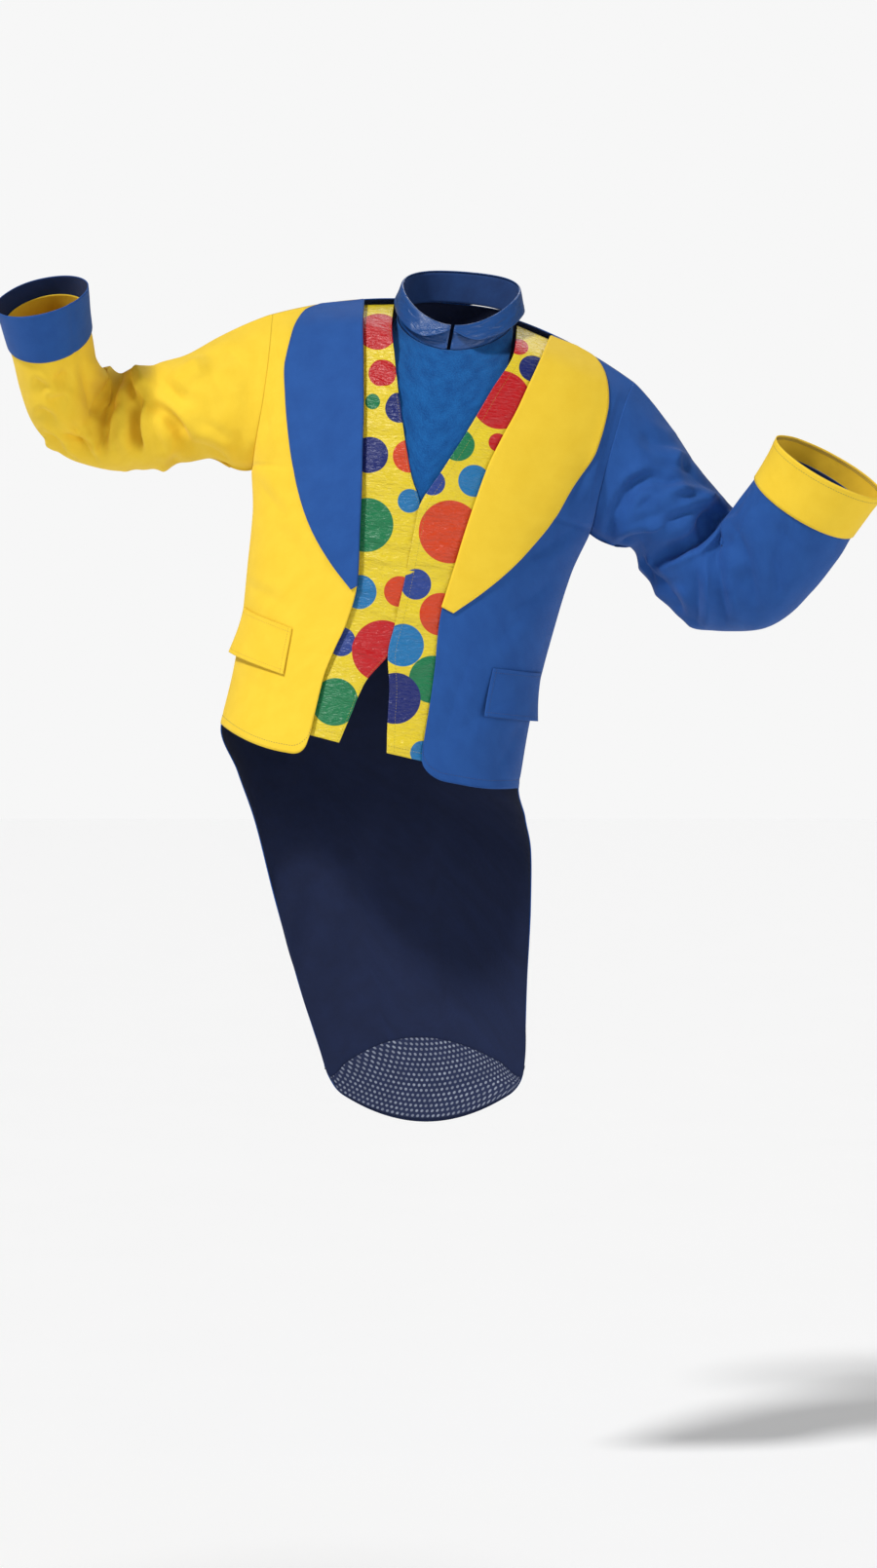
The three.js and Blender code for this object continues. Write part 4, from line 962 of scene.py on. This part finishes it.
def foldDepth(place, outward, folds):
    shape = foldShape
    depth = np.zeros(place.shape[:-1])
    for startX, startZ, endX, endZ, deep, width, facing in folds:
        alongX, alongZ = endX - startX, endZ - startZ
        length = math.hypot(alongX, alongZ)
        dx, dz = place[..., 0] - startX, place[..., 2] - startZ
        reach = (dx * alongX + dz * alongZ) / length ** 2
        aside = (dx * alongZ - dz * alongX) / length
        ends = smoothStep(*shape["starts"], reach) * (1 - smoothStep(*shape["ends"], reach))
        faces = smoothStep(0, shape["turnsAway"], outward[..., 1] * facing)
        depth += deep * ends * faces * np.exp(-(aside / width) ** 2)
    return depth


def armTube(plan, share, t, out):
    # the arm's surface: share runs round it from the shoulder point, t is the ring number
    arm, side, shape = plan["arm"], plan["side"], tubeShape
    last, reach = arm["ring"][-1], shape["reach"]
    centre = lambda at: np.stack([read(arm, "ring", k, at) for k in ("x", "y", "z")], axis=-1)
    along = lambda at: unit(centre(np.minimum(at + reach, last)) - centre(np.maximum(at - reach, 0)))
    bend = unit(np.cross(along(np.array(shape["bendStart"])), along(np.array(last - shape["bendEnd"]))))

    def directions(at):
        axis = along(at)
        inPlane = unit(np.cross(axis, bend))
        return axis, inPlane, unit(np.cross(inPlane, axis))

    _, firstIn, firstBeside = directions(np.array(1.0))
    loop = armhole(share, side)
    fromMiddle = loop - armholeMiddle(side)
    angle = np.arctan2(fromMiddle @ firstIn, fromMiddle @ firstBeside)[None, :, None]
    t = np.asarray(t, float)
    axis, inPlane, beside = (d[:, None, :] for d in directions(t))
    rowOf = lambda values: np.broadcast_to(values, t.shape)[:, None, None]
    pastCuff = np.maximum(0, (t - plan["cuffStart"]) / (plan["cuffEnd"] - plan["cuffStart"]))
    tip = (1 + np.cos(angle - math.radians(plan["tipAngle"]))) / 2
    outward = beside * np.cos(angle) + inPlane * np.sin(angle)
    ring = (centre(t)[:, None, :] + beside * np.cos(angle) * rowOf(read(arm, "ring", "beside", t) + out)
            + inPlane * np.sin(angle) * rowOf(read(arm, "ring", "inPlane", t) + out)
            + axis * plan["tip"] * tip * rowOf(pastCuff))
    sweep = loop[None] + centre(t)[:, None, :] - centre(np.array(0.0))
    place = mix(sweep, ring, rowOf(smoothStep(0, shape["sweepEnd"], t)))
    foldsEnd = smoothStep(plan["cuffStart"] - shape["foldsEnd"], plan["cuffStart"], t)
    settled = smoothStep(0, shape["foldsStart"], t) * (1 - foldsEnd)
    return place - outward * (settled[:, None] * foldDepth(place, outward, plan["folds"]))[..., None]


def unfold(grid, sign, plan):
    # On the tight inside of a bend the rings of a tube cross each other. Where they do, the
    # cloth is let out along the sleeve, so that most of it lies in one smooth fold.
    middle = grid[:, :-1].mean(axis=1)[:, None]
    outwardness = (normalsOf(grid, sign, True) * unit(grid - middle)).sum(axis=-1)
    spread = (outwardness < plan["crossedBelow"]).astype(float)
    for _ in range(plan["spreadRounds"]):
        wrapped = np.concatenate([spread[:, -2:-1], spread, spread[:, 1:2]], axis=1)
        sideways = (wrapped[:, 2:] + wrapped[:, :-2] + 2 * spread) / 4
        inner = (sideways[2:] + sideways[:-2] + 2 * sideways[1:-1]) / 4
        spread = np.concatenate([spread[:1], inner, spread[-1:]])
    share = np.clip(plan["spreadGain"] * spread, 0, plan["mostSpread"])[1:-1, :, None]
    for _ in range(plan["unfoldRounds"]):
        grid = np.concatenate([grid[:1], mix(grid[1:-1], (grid[2:] + grid[:-2]) / 2, share), grid[-1:]])
    return grid


def sleevePiece(name, plan):
    sampling = sleeveSampling
    share = np.linspace(0, 1, sampling["around"] + 1) % 1
    t = np.linspace(0, plan["sleeveEnd"], sampling["along"] + 1)
    grid = armTube(plan, share, t, 0.0)
    grid[:, -1] = grid[:, 0]
    sign = plan["side"]
    grid = unfold(grid, sign, sampling)
    normals = normalsOf(grid, sign, True)
    fadeStart, fadeEnd = (plan["cuffStart"] - before for before in sampling["cuffFade"])
    fade = smoothStep(0, sampling["settlesBy"], t) * (1 - smoothStep(fadeStart, fadeEnd, t))
    relief = creaseRelief(grid[..., 0], grid[..., 2], normals[..., 1], plan["creases"])
    slanted = grid[..., 0] + sampling["waveSlant"] * grid[..., 1]
    waves = softWaves(slanted, grid[..., 2], plan["seed"], sampling["waveLength"])
    relief = relief + sampling["waves"] * waves
    relief = np.clip(relief, sampling["deepest"], sampling["highest"])
    grid = grid + normals * (relief * fade[:, None])[..., None]
    grid[:, -1] = grid[:, 0]
    towards = armholeMiddle(plan["side"]) - armhole(share, plan["side"])
    outward = leaned(plan["side"], 0, 0)
    towards = unit(towards - outward * (towards @ outward)[:, None])
    piece, _ = clothShell(name + "Sleeve", grid, sign, layers["wall"], closed=True, cutTop=towards)
    finishPiece(piece, plan["sleeve"])


def cuffPiece(name, plan):
    sampling = cuffSampling
    share = np.linspace(0, 1, sleeveSampling["around"] + 1) % 1
    v = np.linspace(0, 1, sampling["rows"] + 1)
    t = mix(plan["cuffStart"], plan["cuffEnd"], v)
    out = sampling["rise"] + sampling["clear"] + sampling["flare"] * v
    grid = armTube(plan, share, t, out)
    normals = normalsOf(grid, plan["side"], True)
    seed = plan["seed"] + sampling["waveSeed"]
    waves = softWaves(grid[..., 0] + grid[..., 1], grid[..., 2], seed, sampling["waveLength"])
    fromSeam = (grid[..., 0] - sampling["seamX"]) / sampling["seamWidth"]
    seam = np.exp(-fromSeam ** 2) * (normals[..., 1] < 0)
    rising = smoothStep(0, sampling["wavesFrom"], v)[:, None]
    relief = sampling["waves"] * waves * rising - sampling["seamDepth"] * seam
    grid = grid + normals * relief[..., None]
    grid[:, -1] = grid[:, 0]
    cuff = plan["cuff"]
    piece, normals = clothShell(name + "Cuff", grid, plan["side"], layers["wall"], closed=True)
    finishPiece(piece, cuff)
    if cuff["thread"] is None:
        return
    stitchEdge(piece.name + "Stitches", grid, normals, "bottom", sampling["stitch"],
               topStitch, threads[cuff["thread"]])
    inside = grid - normals * layers["wall"]
    for i, distance in enumerate(sampling["overlock"]):
        stitchEdge(f"{piece.name}Overlock{i}", inside, -normals, "bottom", distance,
                   overlockStitch, threads["dark"])


for name, plan in sleevePlans.items():
    sleevePiece(name, plan)
    cuffPiece(name, plan)
print("sleeves and cuffs are made")


# Lapels, rolled over the fronts' edges

rightLapel = table("step foldX foldHeight outerX outerHeight", [
    (0, -112, -12, -161, -26), (1, -106, -45, -178, -38), (2, -99, -78, -186, -68),
    (3, -92, -112, -187, -105), (4, -84, -152, -178, -150), (5, -76, -200, -163, -201),
    (6, -68, -248, -142, -257), (7, -61, -296, -115, -304), (8, -55, -336, -86, -338),
    (9, -52, -360, -57, -364),
])
leftLapel = table("step foldX foldHeight outerX outerHeight", [
    (0, 120, -14, 152, -18), (1, 114, -45, 176, -27), (2, 106, -80, 193, -50),
    (3, 97, -118, 202, -92), (4, 86, -154, 197, -145), (5, 76, -192, 177, -196),
    (6, 69, -235, 155, -251), (7, 63, -280, 127, -298), (8, 58, -325, 94, -340),
    (9, 53, -365, 66, -369),
])
lapelLook = {"columns": 46, "rows": 160, "rollSteps": 7, "rollRadius": 2.2, "rollCentre": 0.9,
             "rollTurn": 145, "settle": 14, "clear": 0.8, "edgeStitch": 2.6,
             "stitch": {"pitch": 3.2, "stitch": 1.6, "radius": 0.2, "stitched": slice(3, -6)}}
lapelPlans = {
    "rightLapel": {**blue, "nodes": ["right_lapel"], "flat": (0.13, 0.40), "area": 0.028,
                   "held": "folded", "on": ["rightFront"], "thread": "navy", "rows": rightLapel, "side": -1},
    "leftLapel": {**yellow, "nodes": ["left_lapel"], "flat": (0.14, 0.42), "area": 0.034,
                  "held": "folded", "on": ["leftFront"], "thread": "yellow", "rows": leftLapel, "side": 1},
}


def lapelPiece(name, plan):
    look, rows = lapelLook, plan["rows"]
    u = acrossShares(look["columns"])
    at = np.linspace(0, rows["step"][-1], look["rows"] + 1)[:, None]
    value = lambda column: read(rows, "step", column, at)
    x = mix(value("foldX"), value("outerX"), u)
    height = mix(value("foldHeight"), value("outerHeight"), u)
    base = onFront(x, height)
    sign = -plan["side"]
    normals = normalsOf(base, sign)
    base = base + normals * trunkRelief(base, normals)[..., None]
    normals = normalsOf(base, sign)
    foldTop = look["rollCentre"] + look["rollRadius"]
    flat = layers["wall"] + look["clear"]
    widths = np.linalg.norm(base[:, -1] - base[:, 0], axis=-1)[:, None]
    settle = np.exp(-u * widths / look["settle"])
    face = base + normals * (flat + (foldTop - flat) * settle)[..., None]
    towards = unit(base[:, 0] - base[:, 1])
    turn = np.radians(np.linspace(look["rollTurn"], 0, look["rollSteps"] + 1))[:-1]
    rollUp = (look["rollCentre"] + look["rollRadius"] * np.cos(turn))[None, :, None]
    rollOut = (look["rollRadius"] * np.sin(turn))[None, :, None]
    roll = base[:, :1] + normals[:, :1] * rollUp + towards[:, None] * rollOut
    grid = np.concatenate([roll, face], axis=1)
    piece, normals = clothShell(name, grid, sign, layers["wall"])
    finishPiece(piece, plan)
    stitchEdge(name + "Stitches", grid, normals, "end", look["edgeStitch"],
               look["stitch"], threads[plan["thread"]])


for name, plan in lapelPlans.items():
    lapelPiece(name, plan)
print("lapels are made")


# Mock waistcoat in dotted satin

rightWaistcoat = table("step innerX innerHeight outerX outerHeight", [
    (0, -75, -4, -113, -13), (1, -71, -37, -106, -42), (2, -58, -85, -97, -86),
    (3, -36, -154, -83, -154), (4, -14, -215, -73, -215), (5, 12, -272, -64, -272),
    (6, 14, -330, -56, -330), (7, 12, -385, -53, -375), (8, 4, -424, -60, -420),
    (9, -21, -469, -70, -462), (10, -31, -512, -73, -505), (11, -38, -543, -75, -540),
])
leftWaistcoat = table("step innerX innerHeight outerX outerHeight", [
    (0, 77, -4, 118, -16), (1, 80, -45, 111, -50), (2, 62, -99, 102, -102),
    (3, 45, -148, 88, -150), (4, 25, -200, 74, -200), (5, 3, -262, 65, -262),
    (6, 3, -323, 57, -323), (7, 1, -393, 53, -385), (8, -1, -424, 56, -424),
    (9, 9, -471, 58, -471), (10, 14, -508, 60, -508), (11, 20, -545, 61, -547),
])
dotColours = {
    "red": linear(184, 16, 24), "orange": linear(203, 61, 18), "green": linear(13, 115, 69),
    "navy": linear(16, 31, 103), "royal": linear(30, 59, 135), "light": linear(20, 110, 167),
}
# a generic scatter of dots: across, up, radius and colour
rightDots = [
    (-86, -48, 26, "red"), (-70, -102, 17, "red"), (-75, -139, 9, "green"), (-41, -141, 18, "navy"),
    (-66, -203, 22, "navy"), (-19, -196, 20, "orange"), (-54, -286, 32, "green"), (-9, -249, 14, "light"),
    (-47, -365, 20, "light"), (-1, -356, 18, "orange"), (-58, -426, 17, "royal"), (-8, -428, 36, "red"),
    (-52, -497, 28, "green"),
]
leftDots = [
    (84, -36, 12, "red"), (106, -61, 17, "navy"), (75, -108, 36, "red"), (35, -172, 20, "green"),
    (81, -160, 11, "red"), (62, -211, 19, "light"), (14, -223, 15, "royal"), (45, -276, 37, "orange"),
    (17, -344, 18, "royal"), (52, -373, 25, "orange"), (15, -417, 25, "light"), (57, -450, 28, "green"),
    (18, -480, 30, "navy"), (61, -537, 14, "light"),
]


def satinMaterial(name, dots, look):
    material, board = startMaterial(name)
    uv = board.add("ShaderNodeUVMap", uv_map="cut").outputs[0]
    weave = placeGroup(board, twillWeave, Pitch=look["pitch"], Slub=look["slub"])
    crumple = placeGroup(board, softCrumple, Size=look["wrinkle"], Stretch=look["stretch"])
    colour = board.blend(weave.outputs["Tone"], look["dark"], look["light"])
    for x, height, radius, ink in dots:
        middle = (x * mm, height * mm, 0)
        apart = board.add("ShaderNodeVectorMath", {0: uv, 1: middle}, operation="DISTANCE")
        edge = board.fallingEdge(apart.outputs["Value"], (radius - look["dotEdge"]) * mm,
                                 (radius + look["dotEdge"]) * mm)
        colour = board.blend(edge, colour, dotColours[ink])
    normal = clothBump(board, crumple, look["wrinkleBump"], weave, look["bump"], look["bumpHeight"])
    endMaterial(board, look["surface"], colour, normal)
    return material


satinSurface = {"Roughness": 0.29, "Specular IOR Level": 0.5,
                "Sheen Weight": 0.02, "Sheen Roughness": 0.3}
satinLook = {"light": linear(232, 208, 44), "dark": linear(212, 184, 28), "wrinkle": 9.0,
             "wrinkleBump": 0.6, "stretch": 3.2, "pitch": 0.7, "slub": 0.25, "bump": 0.25,
             "bumpHeight": 0.0004, "dotEdge": 0.35, "surface": satinSurface}
waistcoatLook = {"columns": 44, "rows": 220, "tuck": 9, "hemStitch": 9,
                 "stitch": {"pitch": 3.4, "stitch": 2.2, "radius": 0.22},
                 "pullDepth": 3.8, "pullsFade": (0.6, 0.9), "pullRange": (-1.6, 4.5),
                 "creaseRange": (-6, 0.8)}
pullShape = {"from": -30.0, "to": -540, "apart": (5, 14), "centre": (-70, 70), "reach": (22, 60),
             "width": (3.5, 8.5), "slope": (-0.35, 0.35), "depth": (-1.0, 0.8), "sag": 0.004}
waistcoatCut = {"slot": "dotted_satin", "flat": (0.10, 0.56), "area": 0.034, "held": "hung"}
waistcoatPlans = {
    "rightWaistcoat": {**waistcoatCut, "nodes": ["right_waistcoat"], "on": ["rightFront"], "side": -1,
                       "rows": rightWaistcoat, "out": -5.5, "dots": rightDots, "seed": 21, "edgeStitch": 2.5},
    "leftWaistcoat": {**waistcoatCut, "nodes": ["left_waistcoat"], "on": ["leftFront"], "side": 1,
                      "rows": leftWaistcoat, "out": -3.0, "dots": leftDots, "seed": 22, "edgeStitch": 9},
}


def pullWrinkles(p, q, seed):
    # short soft pulls across the satin, uneven in length, depth and spacing
    chance = np.random.default_rng(seed)
    shape = pullShape
    relief = np.zeros(np.shape(p))
    height = shape["from"]
    while height > shape["to"]:
        height -= chance.uniform(*shape["apart"])
        centre = chance.uniform(*shape["centre"])
        reach = chance.uniform(*shape["reach"])
        width = chance.uniform(*shape["width"])
        slope = chance.uniform(*shape["slope"])
        depth = chance.uniform(*shape["depth"])
        line = height + slope * (p - centre) + shape["sag"] * (p - centre) ** 2
        relief -= depth * np.exp(-((q - line) / width) ** 2) * np.exp(-((p - centre) / reach) ** 2)
    return relief


def waistcoatPiece(name, plan):
    look, rows, side = waistcoatLook, plan["rows"], plan["side"]
    u = acrossShares(look["columns"])
    at = np.linspace(0, rows["step"][-1], look["rows"] + 1)[:, None]
    value = lambda column: read(rows, "step", column, at)
    x = mix(value("innerX"), value("outerX") + side * look["tuck"], u)
    height = mix(value("innerHeight"), value("outerHeight"), u)
    base = onFront(x, height)
    sign = -side
    normals = normalsOf(base, sign)
    pulls = look["pullDepth"] * pullWrinkles(x, height, plan["seed"])
    pulls = pulls * (1 - smoothStep(*look["pullsFade"], u))
    creases = np.clip(trunkRelief(base, normals), *look["creaseRange"])
    relief = creases + np.clip(pulls, *look["pullRange"])
    grid = base + normals * (plan["out"] + relief)[..., None]
    place = np.stack([x, height], axis=-1)
    piece, normals = clothShell(name, grid, sign, layers["satinWall"], uv=place)
    satin = satinMaterial(name + "Satin", plan["dots"], satinLook)
    finishPiece(piece, {**plan, "outside": satin, "inside": satin})
    stitchEdge(name + "Stitches", grid, normals, "start", plan["edgeStitch"],
               look["stitch"], threads["satin"])
    stitchEdge(name + "HemStitches", grid, normals, "bottom", look["hemStitch"],
               look["stitch"], threads["satin"])


for name, plan in waistcoatPlans.items():
    waistcoatPiece(name, plan)
print("mock waistcoat is made")


# Collar and shirt front

collarPlan = {
    "halfWidth": 69, "depth": 69, "middleY": -14, "middleHeight": -23, "tilt": 37, "sideRise": 9,
    "turn": 0.11, "shift": 2, "rightFlare": 0.4, "gap": 0.03, "columns": 170,
    "standHeight": 27, "backRise": 10, "backRiseAngle": 1.4, "standOutside": 1.5, "standTaper": 2,
    "rollCentre": 0.45, "rollRadius": 2.78, "rollRows": 7, "fallRows": 18, "standRows": 12,
    "rightFlareTurn": (0.2, 0.8), "edgeStitch": 4, "stitch": {"pitch": 3.0, "stitch": 2.0, "radius": 0.2},
    "wave": {"across": 60, "down": 30, "seed": 31, "length": 34, "depth": 1.2, "lowest": -0.4,
             "from": (0.1, 0.8)},
}
collarFall = table("angle drop flare", [
    (0, 5, 5), (0.49, 22, 9), (0.9, 24, 10), (1.6, 22, 9), (math.pi, 38, 14),
])


def neckRing(angle, grow, lift):
    plan = collarPlan
    x = plan["shift"] + (plan["halfWidth"] + grow) * np.sin(angle)
    rise = plan["sideRise"] * np.sin(angle) ** 2 - plan["tilt"] * np.cos(angle)
    y = plan["middleY"] - (plan["depth"] + grow) * np.cos(angle)
    return leaned(x, y, plan["middleHeight"] + rise + plan["turn"] * x + lift)


def foldLift(angle):
    plan = collarPlan
    fromFront = np.minimum(angle, 2 * math.pi - angle)
    return plan["standHeight"] + plan["backRise"] * smoothStep(0, plan["backRiseAngle"], fromFront)


collarSatin = satinMaterial("collarSatin", [], {
    **satinLook, "light": linear(32, 84, 150), "dark": linear(18, 58, 116),
    "wrinkle": 26.0, "wrinkleBump": 0.7})
collarCloth = {"slot": "blue_satin", "outside": collarSatin, "inside": cloths["collarReverse"],
               "held": "folded"}
standCut = {**collarCloth, "nodes": ["collar_stand"], "flat": (0.44, 0.04), "area": 0.0165,
            "on": ["shirtFront"]}
fallCut = {**collarCloth, "nodes": ["collar_fall"], "flat": (0.50, 0.06), "area": 0.018,
           "on": ["collarStand"]}


def collarPieces():
    plan = collarPlan
    angle = np.linspace(plan["gap"], 2 * math.pi - plan["gap"], plan["columns"] + 1)[None, :]
    v = downShares(plan["standRows"])
    grid = neckRing(angle, plan["standOutside"] - plan["standTaper"] * v, foldLift(angle) * (1 - v))
    piece, _ = clothShell("collarStand", grid, -1, layers["wall"])
    finishPiece(piece, standCut)
    folded = np.minimum(angle, 2 * math.pi - angle)
    drop = read(collarFall, "angle", "drop", folded)
    toRight = smoothStep(*plan["rightFlareTurn"], -np.sin(angle))
    flare = read(collarFall, "angle", "flare", folded) * mix(1, plan["rightFlare"], toRight)
    slope = np.arctan2(flare, drop)
    turn = downShares(plan["rollRows"])[:-1]
    turned = mix(math.pi / 2, slope, turn)
    hanging = downShares(plan["fallRows"])
    grow = np.concatenate([
        plan["rollCentre"] + plan["rollRadius"] * np.cos(turned),
        plan["rollCentre"] + plan["rollRadius"] * np.cos(slope) + flare * hanging])
    lift = foldLift(angle) + np.concatenate([
        plan["rollRadius"] * np.sin(turned),
        plan["rollRadius"] * np.sin(slope) - drop * hanging])
    grid = neckRing(angle, grow, lift)
    normals = normalsOf(grid, -1)
    shares = np.concatenate([np.zeros((plan["rollRows"], 1)), hanging])
    wave = plan["wave"]
    waves = softWaves(angle * wave["across"], shares * wave["down"], wave["seed"], wave["length"])
    lifted = np.maximum(waves, wave["lowest"]) * smoothStep(*wave["from"], shares)
    grid = grid + normals * (wave["depth"] * lifted)[..., None]
    piece, normals = clothShell("collarFall", grid, -1, layers["wall"])
    finishPiece(piece, fallCut)
    stitchEdge("collarStitches", grid, normals, "bottom", plan["edgeStitch"],
               plan["stitch"], threads["blue"])


collarPieces()

shirtPlan = {
    "nodes": ["shirt_front"], "slot": "brushed_blue", "flat": (0.17, 0.26), "area": 0.022,
    "held": "laid", "on": ["collarStand"],
    "topAngle": 1.56, "topHeight": -72, "bottomHeight": -285, "shift": 2, "sideRise": 28,
    "joins": (-0.02, 0.22), "out": -8.0, "highest": 0.5, "columns": 60, "rows": 90,
}
shirtEdges = table("height half", [(-72, 84), (-110, 74), (-154, 56), (-215, 34), (-285, 12)])


def brushedMaterial():
    material, board = startMaterial("brushedBlue")
    uv = board.add("ShaderNodeUVMap", uv_map="cut").outputs[0]
    nap = board.add("ShaderNodeTexNoise", {"Vector": uv, "Scale": 520.0, "Detail": 6.0, "Roughness": 0.75})
    cloud = board.add("ShaderNodeTexNoise", {"Vector": uv, "Scale": 60.0, "Detail": 4.0})
    tone = board.math("ADD", board.math("MULTIPLY", nap.outputs["Fac"], 0.65),
                      board.math("MULTIPLY", cloud.outputs["Fac"], 0.35))
    level = board.add("ShaderNodeMapRange", {"Value": tone, "From Min": 0.36, "From Max": 0.64})
    colour = board.blend(level.outputs[0], linear(12, 64, 126), linear(30, 104, 174))
    bump = board.add("ShaderNodeBump", {"Strength": 0.9, "Distance": 0.0012, "Height": nap.outputs["Fac"]})
    surface = {"Roughness": 0.95, "Specular IOR Level": 0.15,
               "Sheen Weight": 0.2, "Sheen Roughness": 0.4}
    endMaterial(board, surface, colour, bump.outputs[0])
    return material


def shirtFrontPiece():
    plan = shirtPlan
    s = np.linspace(-1, 1, plan["columns"] + 1)[None, :]
    s, v = np.broadcast_arrays(s, downShares(plan["rows"]))
    neck = neckRing(s * plan["topAngle"], 0, -layers["seamGap"])
    height = mix(plan["topHeight"], plan["bottomHeight"], v)
    half = read(shirtEdges, "height", "half", height)
    base = onFront(s * half + plan["shift"], height + plan["sideRise"] * s * s * (1 - v))
    normals = normalsOf(base, -1)
    relief = trunkRelief(base, normals)
    chest = base + normals * (plan["out"] + np.minimum(relief, plan["highest"]))[..., None]
    grid = mix(neck, chest, smoothStep(*plan["joins"], v)[..., None])
    piece, _ = clothShell("shirtFront", grid, -1, layers["wall"])
    brushed = brushedMaterial()
    finishPiece(piece, {**plan, "outside": brushed, "inside": brushed})


shirtFrontPiece()
print("collar and shirt front are made")


# Pocket flaps

flapCut = {"flat": (0.12, 0.058), "area": 0.0062, "held": "hung"}
flapPlans = {
    "rightFlap": {
        **yellow, **flapCut, "nodes": ["right_pocket_flap"], "on": ["rightFront"], "thread": "yellow",
        "side": -1, "frontAcross": 0.635, "sideAcross": 0.985, "frontTop": -421, "sideTop": -404,
        "tall": 56, "liftFront": 1, "liftSide": 9},
    "leftFlap": {
        **blue, **flapCut, "nodes": ["left_pocket_flap"], "on": ["leftFront"], "thread": "navy",
        "side": 1, "frontAcross": 0.675, "sideAcross": 0.985, "frontTop": -423, "sideTop": -415,
        "tall": 58, "liftFront": 6, "liftSide": 10},
}
flapLook = {"columns": 56, "rows": 32, "curl": 1.5, "clear": 0.8, "edgeStitch": 5,
            "sideFade": (-0.03, 0.03), "stitch": {"pitch": 3.2, "stitch": 2.3, "radius": 0.24}}


def flapPiece(name, plan):
    look, side = flapLook, plan["side"]
    u, v = acrossShares(look["columns"]), downShares(look["rows"])
    across = side * np.sin(mix(math.asin(plan["frontAcross"]), math.asin(plan["sideAcross"]), u))
    height = mix(plan["frontTop"], plan["sideTop"], u) - v * plan["tall"]
    across, height = np.broadcast_arrays(across, height)
    row = rowAt(across, height)
    lift = mix(plan["liftFront"], plan["liftSide"], u) * v ** look["curl"]
    base = bodyForm(row, across, -1)
    outward = outwardAt(across, row, -1)
    fromSeam = 1 - np.arcsin(np.abs(across)) / (math.pi / 2)
    relief = trunkRelief(base, outward) * smoothStep(*look["sideFade"], fromSeam)
    grid = base + outward * (layers["wall"] + look["clear"] + lift + relief)[..., None]
    piece, normals = clothShell(name, grid, -side, layers["wall"])
    finishPiece(piece, plan)
    for edge in ("top", "bottom", "start"):
        stitchEdge(name + edge.title() + "Stitches", grid, normals, edge, look["edgeStitch"],
                   look["stitch"], threads[plan["thread"]])


for name, plan in flapPlans.items():
    flapPiece(name, plan)
print("pocket flaps are made")


# Stage: a pale floor and soft studio light

stagePlan = {"floorHeight": -1.47, "floorRadius": 90, "floorSides": 64, "floorGlow": 0.1,
             "floorDark": (0.90, 0.90, 0.90, 1), "floorLight": (0.92, 0.92, 0.92, 1),
             "white": (1, 1, 1, 1), "world": 0.17, "seen": 0.93}
# azimuth and height of where each light comes from, in degrees, its softness and strength
lightPlans = {
    "keyLight": {"azimuth": -42, "height": 42, "softness": 8, "strength": 2.6},
    "fillLight": {"azimuth": 46, "height": 8, "softness": 30, "strength": 0.8},
    "backLight": {"azimuth": 165, "height": 45, "softness": 40, "strength": 0.7},
}


def addLight(name, plan):
    data = bpy.data.lights.new(name, "SUN")
    data.angle = math.radians(plan["softness"])
    data.energy = plan["strength"]
    light = bpy.data.objects.new(name, data)
    light.rotation_euler = (math.radians(90 - plan["height"]), 0, math.radians(plan["azimuth"]))
    bpy.context.collection.objects.link(light)


def addStage(plan):
    mesh = bpy.data.meshes.new("floor")
    radius, sides = plan["floorRadius"], plan["floorSides"]
    ring = np.arange(sides) * 2 * math.pi / sides
    points = [(radius * math.cos(a), radius * math.sin(a), plan["floorHeight"]) for a in ring]
    mesh.from_pydata(points, [], [tuple(range(sides))])
    material, board = startMaterial("paleFloor")
    place = board.add("ShaderNodeTexCoord").outputs["Object"]
    noise = board.add("ShaderNodeTexNoise", {"Vector": place, "Scale": 3.0, "Detail": 2.0})
    colour = board.blend(noise.outputs["Fac"], plan["floorDark"], plan["floorLight"])
    endMaterial(board, {"Roughness": 0.8, "Specular IOR Level": 0.2, "Emission Color": plan["white"],
                        "Emission Strength": plan["floorGlow"]}, colour, None)
    mesh.materials.append(material)
    floor = bpy.data.objects.new("floor", mesh)
    bpy.context.collection.objects.link(floor)
    world = bpy.data.worlds.new("studio")
    world.use_nodes = True
    background = world.node_tree.nodes["Background"]
    background.inputs["Color"].default_value = plan["white"]
    board = Board(world.node_tree)
    seen = board.add("ShaderNodeLightPath").outputs["Is Camera Ray"]
    strength = board.add("ShaderNodeMapRange", {
        "Value": seen, "To Min": plan["world"], "To Max": plan["seen"]})
    board.tree.links.new(strength.outputs[0], background.inputs["Strength"])
    bpy.context.scene.world = world
    for name, light in lightPlans.items():
        addLight(name, light)


addStage(stagePlan)
bpy.context.scene.view_settings.view_transform = "Standard"
print("stage is set")
